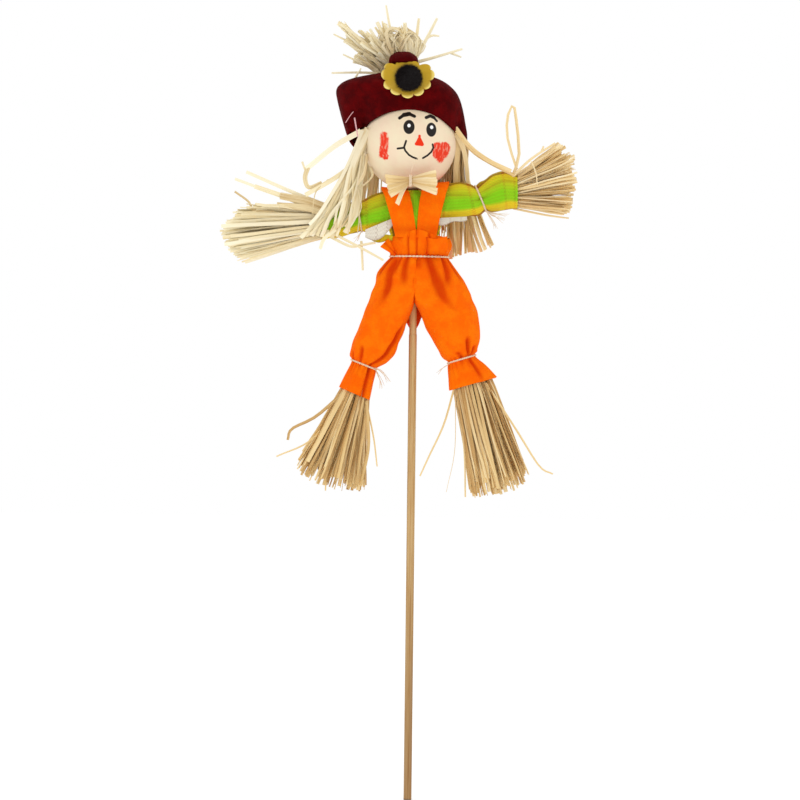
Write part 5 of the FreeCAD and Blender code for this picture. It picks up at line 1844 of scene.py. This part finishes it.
@dataclass
class Hair:
    """Straw hair under the hat's rim and the tuft on its top."""

    def hanging(self, side: Side) -> None:
        """Hair at one side of the face."""
        draw = random.Random(31 + side.value)
        strands = []
        if side is Side.RIGHT:
            for i in range(30):
                share = (i + draw.random()) / 30
                y = -15.5 + 6 * draw.random()
                top = mm(-33 + 6 * share, -11 + 10 * draw.random(), 421 - 3 * draw.random())
                low = mm(-36 - 6 * (1 - share) + draw.uniform(-2, 2), y, 394)
                knee = mm(-56 + 20 * share + draw.uniform(-3, 3), y - 1, 370 + draw.uniform(-2, 2))
                tip = mm(-68 + 31 * share + draw.uniform(-4, 4), y + 1, 352 + 8 * draw.random())
                strands.append(Strand([top, low, knee, tip], draw.uniform(0.0016, 0.0038),
                                      draw.uniform(0.45, 1.0), FACING + draw.uniform(-0.8, 0.8),
                                      draw.uniform(-0.8, 0.8), 0.8, 0.4, 0.0016,
                                      draw.uniform(0, 99)))
        else:
            for i in range(20):
                share = (i + draw.random()) / 20
                top = mm(23.0 + 11 * share, 4 + 8 * draw.random(), 424 - 16 * share)
                low = mm(21 + 13 * share + draw.uniform(-1.5, 1.5), 13 + 3 * draw.random(), 392)
                knee = mm(20 + 24 * share + draw.uniform(-2, 2), 14 + 3 * draw.random(), 366)
                tip = mm(19 + 34 * share + draw.uniform(-2, 2), 14 + 4 * draw.random(),
                         339 + 8 * share + draw.uniform(0, 3))
                strands.append(Strand([top, low, knee, tip], draw.uniform(0.0028, 0.0056),
                                      draw.uniform(0.5, 1.0), FACING + draw.uniform(-0.5, 0.5),
                                      draw.uniform(-0.4, 0.4), 0.95, 0.3, 0.0010,
                                      draw.uniform(0, 99)))
        strands += loose(HAIR_STRAWS[side], draw, 0.3, 0.85, 0.2)
        for i in range(46):
            angle = math.radians((20 + 72 * draw.random()) if side is Side.LEFT
                                 else (88 + 72 * draw.random()))
            reach = 30.5 + 3 * draw.random()
            top = mm(HEAD_X + math.cos(angle) * reach, math.sin(angle) * reach,
                     412 + 4 * draw.random())
            low = mm(HEAD_X + math.cos(angle) * (reach + 0.5), math.sin(angle) * (reach - 3), 392)
            tip = mm(HEAD_X + math.cos(angle) * (reach + 2), 15.5 + math.sin(angle) * (reach - 18),
                     (342 if side is Side.LEFT else 362) + 22 * draw.random())
            strands.append(Strand([top, low, tip], draw.uniform(0.0018, 0.004),
                                  draw.uniform(0.45, 1.0), draw.uniform(0, 3), 0.5, 0.9, 0.3, 0.001,
                                  draw.uniform(0, 99)))
        piece = strips(f"hair_straw_{side.word}", strands, TAN_RAFFIA if side is Side.LEFT
                       else CREAM_RAFFIA, 16, 6)
        crossing(piece, Body.HEAD, Body.ROOT, mm(0, 0, 404), mm(0, 0, 384))
        settle(piece, Body.HEAD, "straw", f"hair_{side.word}")

    def tuft(self) -> None:
        """Tuft behind the knot of the hat."""
        draw = random.Random(77)
        strands = []
        fans = (
            (26, (-16, 458), (-47.2, 486.0), 3.4, (0.0014, 0.0026)),
            (30, (-10, 460), (-33.0, 478.0), 12.0, (0.0014, 0.0030)),
            (22, (-12, 458), (-27.0, 470.0), 12.0, (0.0014, 0.0030)),
            (20, (-16, 458), (-42.0, 478.0), 7.0, (0.0014, 0.0028)),
            (18, (-18, 456), (-37.0, 466.0), 6.0, (0.0014, 0.0026)),
            (16, (-12, 462), (-22.0, 486.0), 7.0, (0.0018, 0.0032)),
            (14, (-8, 466), (-8.0, 484.0), 7.0, (0.0018, 0.0034)))
        for count, start, tip, spread, width in fans:
            for _ in range(count):
                y = draw.uniform(-2, 12)
                root = mm(start[0] + draw.uniform(-3, 3), 7 + draw.uniform(-2, 3), start[1] - 3)
                end = mm(tip[0] + draw.uniform(-spread, spread) * 0.5, y,
                         tip[1] + draw.uniform(-spread, spread) * 0.5)
                middle = root.lerp(end, 0.5) + mm(draw.uniform(-1.6, 1.6), 0, draw.uniform(0, 2.4))
                strands.append(Strand([root, middle, end], draw.uniform(*width),
                                      draw.uniform(0.5, 1.0), draw.uniform(0, 3),
                                      draw.uniform(-1, 1), 0.85, 0.6, 0.0014, draw.uniform(0, 99)))
        for _ in range(34):
            x = draw.uniform(-20, 0)
            top = 474 + 11 * draw.random()
            foot = mm(-12 + draw.uniform(-4, 6), 4, 458)
            strands.append(Strand([foot, mm(x - 5, draw.uniform(-3, 8), top - 5), mm(x, 2, top),
                                   mm(x + 6, 0, top - 6), mm(-4 + draw.uniform(-3, 4), 1, 462)],
                                  draw.uniform(0.0014, 0.0030), draw.uniform(0.6, 1.0),
                                  FACING + draw.uniform(-1, 1), draw.uniform(-1, 1), 0.9, 0.6,
                                  0.0012, draw.uniform(0, 99)))
        strands += loose(TUFT_STRAWS, draw, 0.4, 0.6, 0.2)
        piece = strips("hair_tuft_straw", strands, CREAM_RAFFIA, 12, 6)
        settle(piece, Body.HEAD, "straw", "hair_tuft")

    def build(self) -> None:
        """Build all the hair."""
        for side in Side:
            self.hanging(side)
        self.tuft()


@dataclass
class Limbs:
    """Straw hands and feet that spread out of the cuffs."""

    def hand(self, side: Side) -> None:
        """Straw of one hand."""
        if side is Side.LEFT:
            spray = Spray(mm(41, 0, 378), (mm(61, 0, 391), mm(62, 0, 373)),
                          line_of((90.5, 0, 413.5), (97.5, 0, 407), (99.8, 0, 398), (101, 0, 389.6),
                                  (100, 0, 381), (98, 0, 374), (96, 0, 369)),
                          230, (9.0 * MM, 13 * MM), (0.0012, 0.0030), (0.35, 1.0), 3)
            finish = TAN_RAFFIA
        else:
            spray = Spray(mm(-35, 0, 365), (mm(-55, 0, 369), mm(-54, 0, 353)),
                          line_of((-102, 0, 372.0), (-113, 0, 366), (-117.5, 0, 360),
                                  (-119.3, 0, 354), (-117, 0, 347), (-113, 0, 341),
                                  (-107, 0, 336.5)),
                          240, (8.5 * MM, 13 * MM), (0.0014, 0.0032), (0.5, 1.0), 4)
            finish = CREAM_RAFFIA
        draw = random.Random(9)
        strands = spray.strands()
        strands += loose(HAND_STRAWS[side], draw, 0.5, 0.8, 0.1)
        piece = strips(f"hand_straw_{side.word}", strands, finish, 12, 6)
        settle(piece, side.arm, "straw", f"arm_raffia_{side.word}")

    def foot(self, side: Side) -> None:
        """Straw of one foot."""
        if side is Side.LEFT:
            spray = Spray(mm(31, 0, 277), (mm(25, 0, 262), mm(48, 0, 269)),
                          line_of((38.5, 0, 193), (44, 0, 193.0), (52, 0, 193.5), (60, 0, 195.5),
                                  (67, 0, 199), (73.5, 0, 205)),
                          210, (9.0 * MM, 12 * MM), (0.0014, 0.0034), (0.1, 0.8), 5)
        else:
            spray = Spray(mm(-30, 0, 272), (mm(-42, 0, 262), mm(-27.5, 0, 256)),
                          line_of((-71, 0, 210.5), (-67, 0, 204), (-60, 0, 200.5), (-50, 0, 197.5),
                                  (-40, 0, 195.5), (-29, 0, 194.5)),
                          210, (9.0 * MM, 12 * MM), (0.0014, 0.0034), (0.1, 0.8), 6)
        draw = random.Random(12)
        strands = spray.strands()
        strands += loose(FOOT_STRAWS[side], draw, 0.5, 0.7, 0.1)
        piece = strips(f"leg_straw_{side.word}", strands, TAN_RAFFIA, 12, 6)
        settle(piece, side.leg, "straw", f"leg_raffia_{side.word}")

    def build(self) -> None:
        """Build both hands and both feet."""
        for side in Side:
            self.hand(side)
            self.foot(side)


# ---- studio --------------------------------------------------------------------------------

@dataclass
class Studio:
    """Pale paper floor, soft lights and the camera."""

    distance: float = 2.5
    frame_width: float = 0.502
    roll: float = math.radians(0.6686)

    def paper(self) -> None:
        """Flat floor under the figure."""
        reach = 6.0
        corners = [(-reach, -reach, 0), (reach, -reach, 0), (reach, reach, 0), (-reach, reach, 0)]
        data = bpy.data.meshes.new("paper_floor")
        data.from_pydata(corners, [], [(0, 1, 2, 3)])
        data.materials.append(PAPER.material())
        linked("paper_floor", data)

    def lamp(self, name: str, place: Vector, size: float, power: float) -> None:
        """Soft square light that looks at the figure."""
        light = bpy.data.lights.new(name, "AREA")
        light.size = size
        light.energy = power
        thing = bpy.data.objects.new(name, light)
        bpy.context.scene.collection.objects.link(thing)
        thing.location = place
        thing.rotation_euler = (Vector((0, 0, 0.33)) - place).to_track_quat("-Z", "Y").to_euler()

    def camera(self) -> None:
        """Camera level with the figure, rolled so that the stick leans a little."""
        data = bpy.data.cameras.new("camera")
        data.sensor_width = 36.0
        data.lens = 36.0 * self.distance / self.frame_width
        thing = bpy.data.objects.new("camera", data)
        bpy.context.scene.collection.objects.link(thing)
        thing.matrix_world = (Matrix.Translation(Vector((-0.0076, -self.distance, 0.2508)))
                              @ Matrix.Rotation(math.pi / 2, 4, "X")
                              @ Matrix.Rotation(self.roll, 4, "Z"))
        bpy.context.scene.camera = thing

    def build(self) -> None:
        """Build the studio."""
        self.paper()
        self.lamp("key", Vector((-1.1, -1.7, 1.5)), 1.2, 3.5)
        self.lamp("fill", Vector((1.6, -1.5, 0.8)), 1.6, 1.5)
        self.lamp("top", Vector((0.0, 0.3, 2.2)), 1.6, 2.0)
        world = bpy.data.worlds.new("room")
        bpy.context.scene.world = world
        world.use_nodes = True
        sky = world.node_tree.nodes["Background"]
        Tree(world.node_tree).fill(sky, {"Color": (1, 1, 1, 1), "Strength": 1.0})
        bpy.context.scene.view_settings.view_transform = "Standard"
        self.camera()


def main() -> None:
    """Build the studio and every sub-assembly in order."""
    logging.basicConfig(level=logging.INFO, format="%(name)s %(message)s")
    noise.seed_set(NOISE_SEED)  # noise_vector starts from the clock otherwise
    for part in (Studio(), Core(), Trousers(), Shirt(), Straps(), Bow(), Head(), Hat(), Flower(),
                 Hair(), Limbs()):
        LOG.info("building %s", type(part).__name__)
        part.build()


if __name__ == "__main__":
    main()
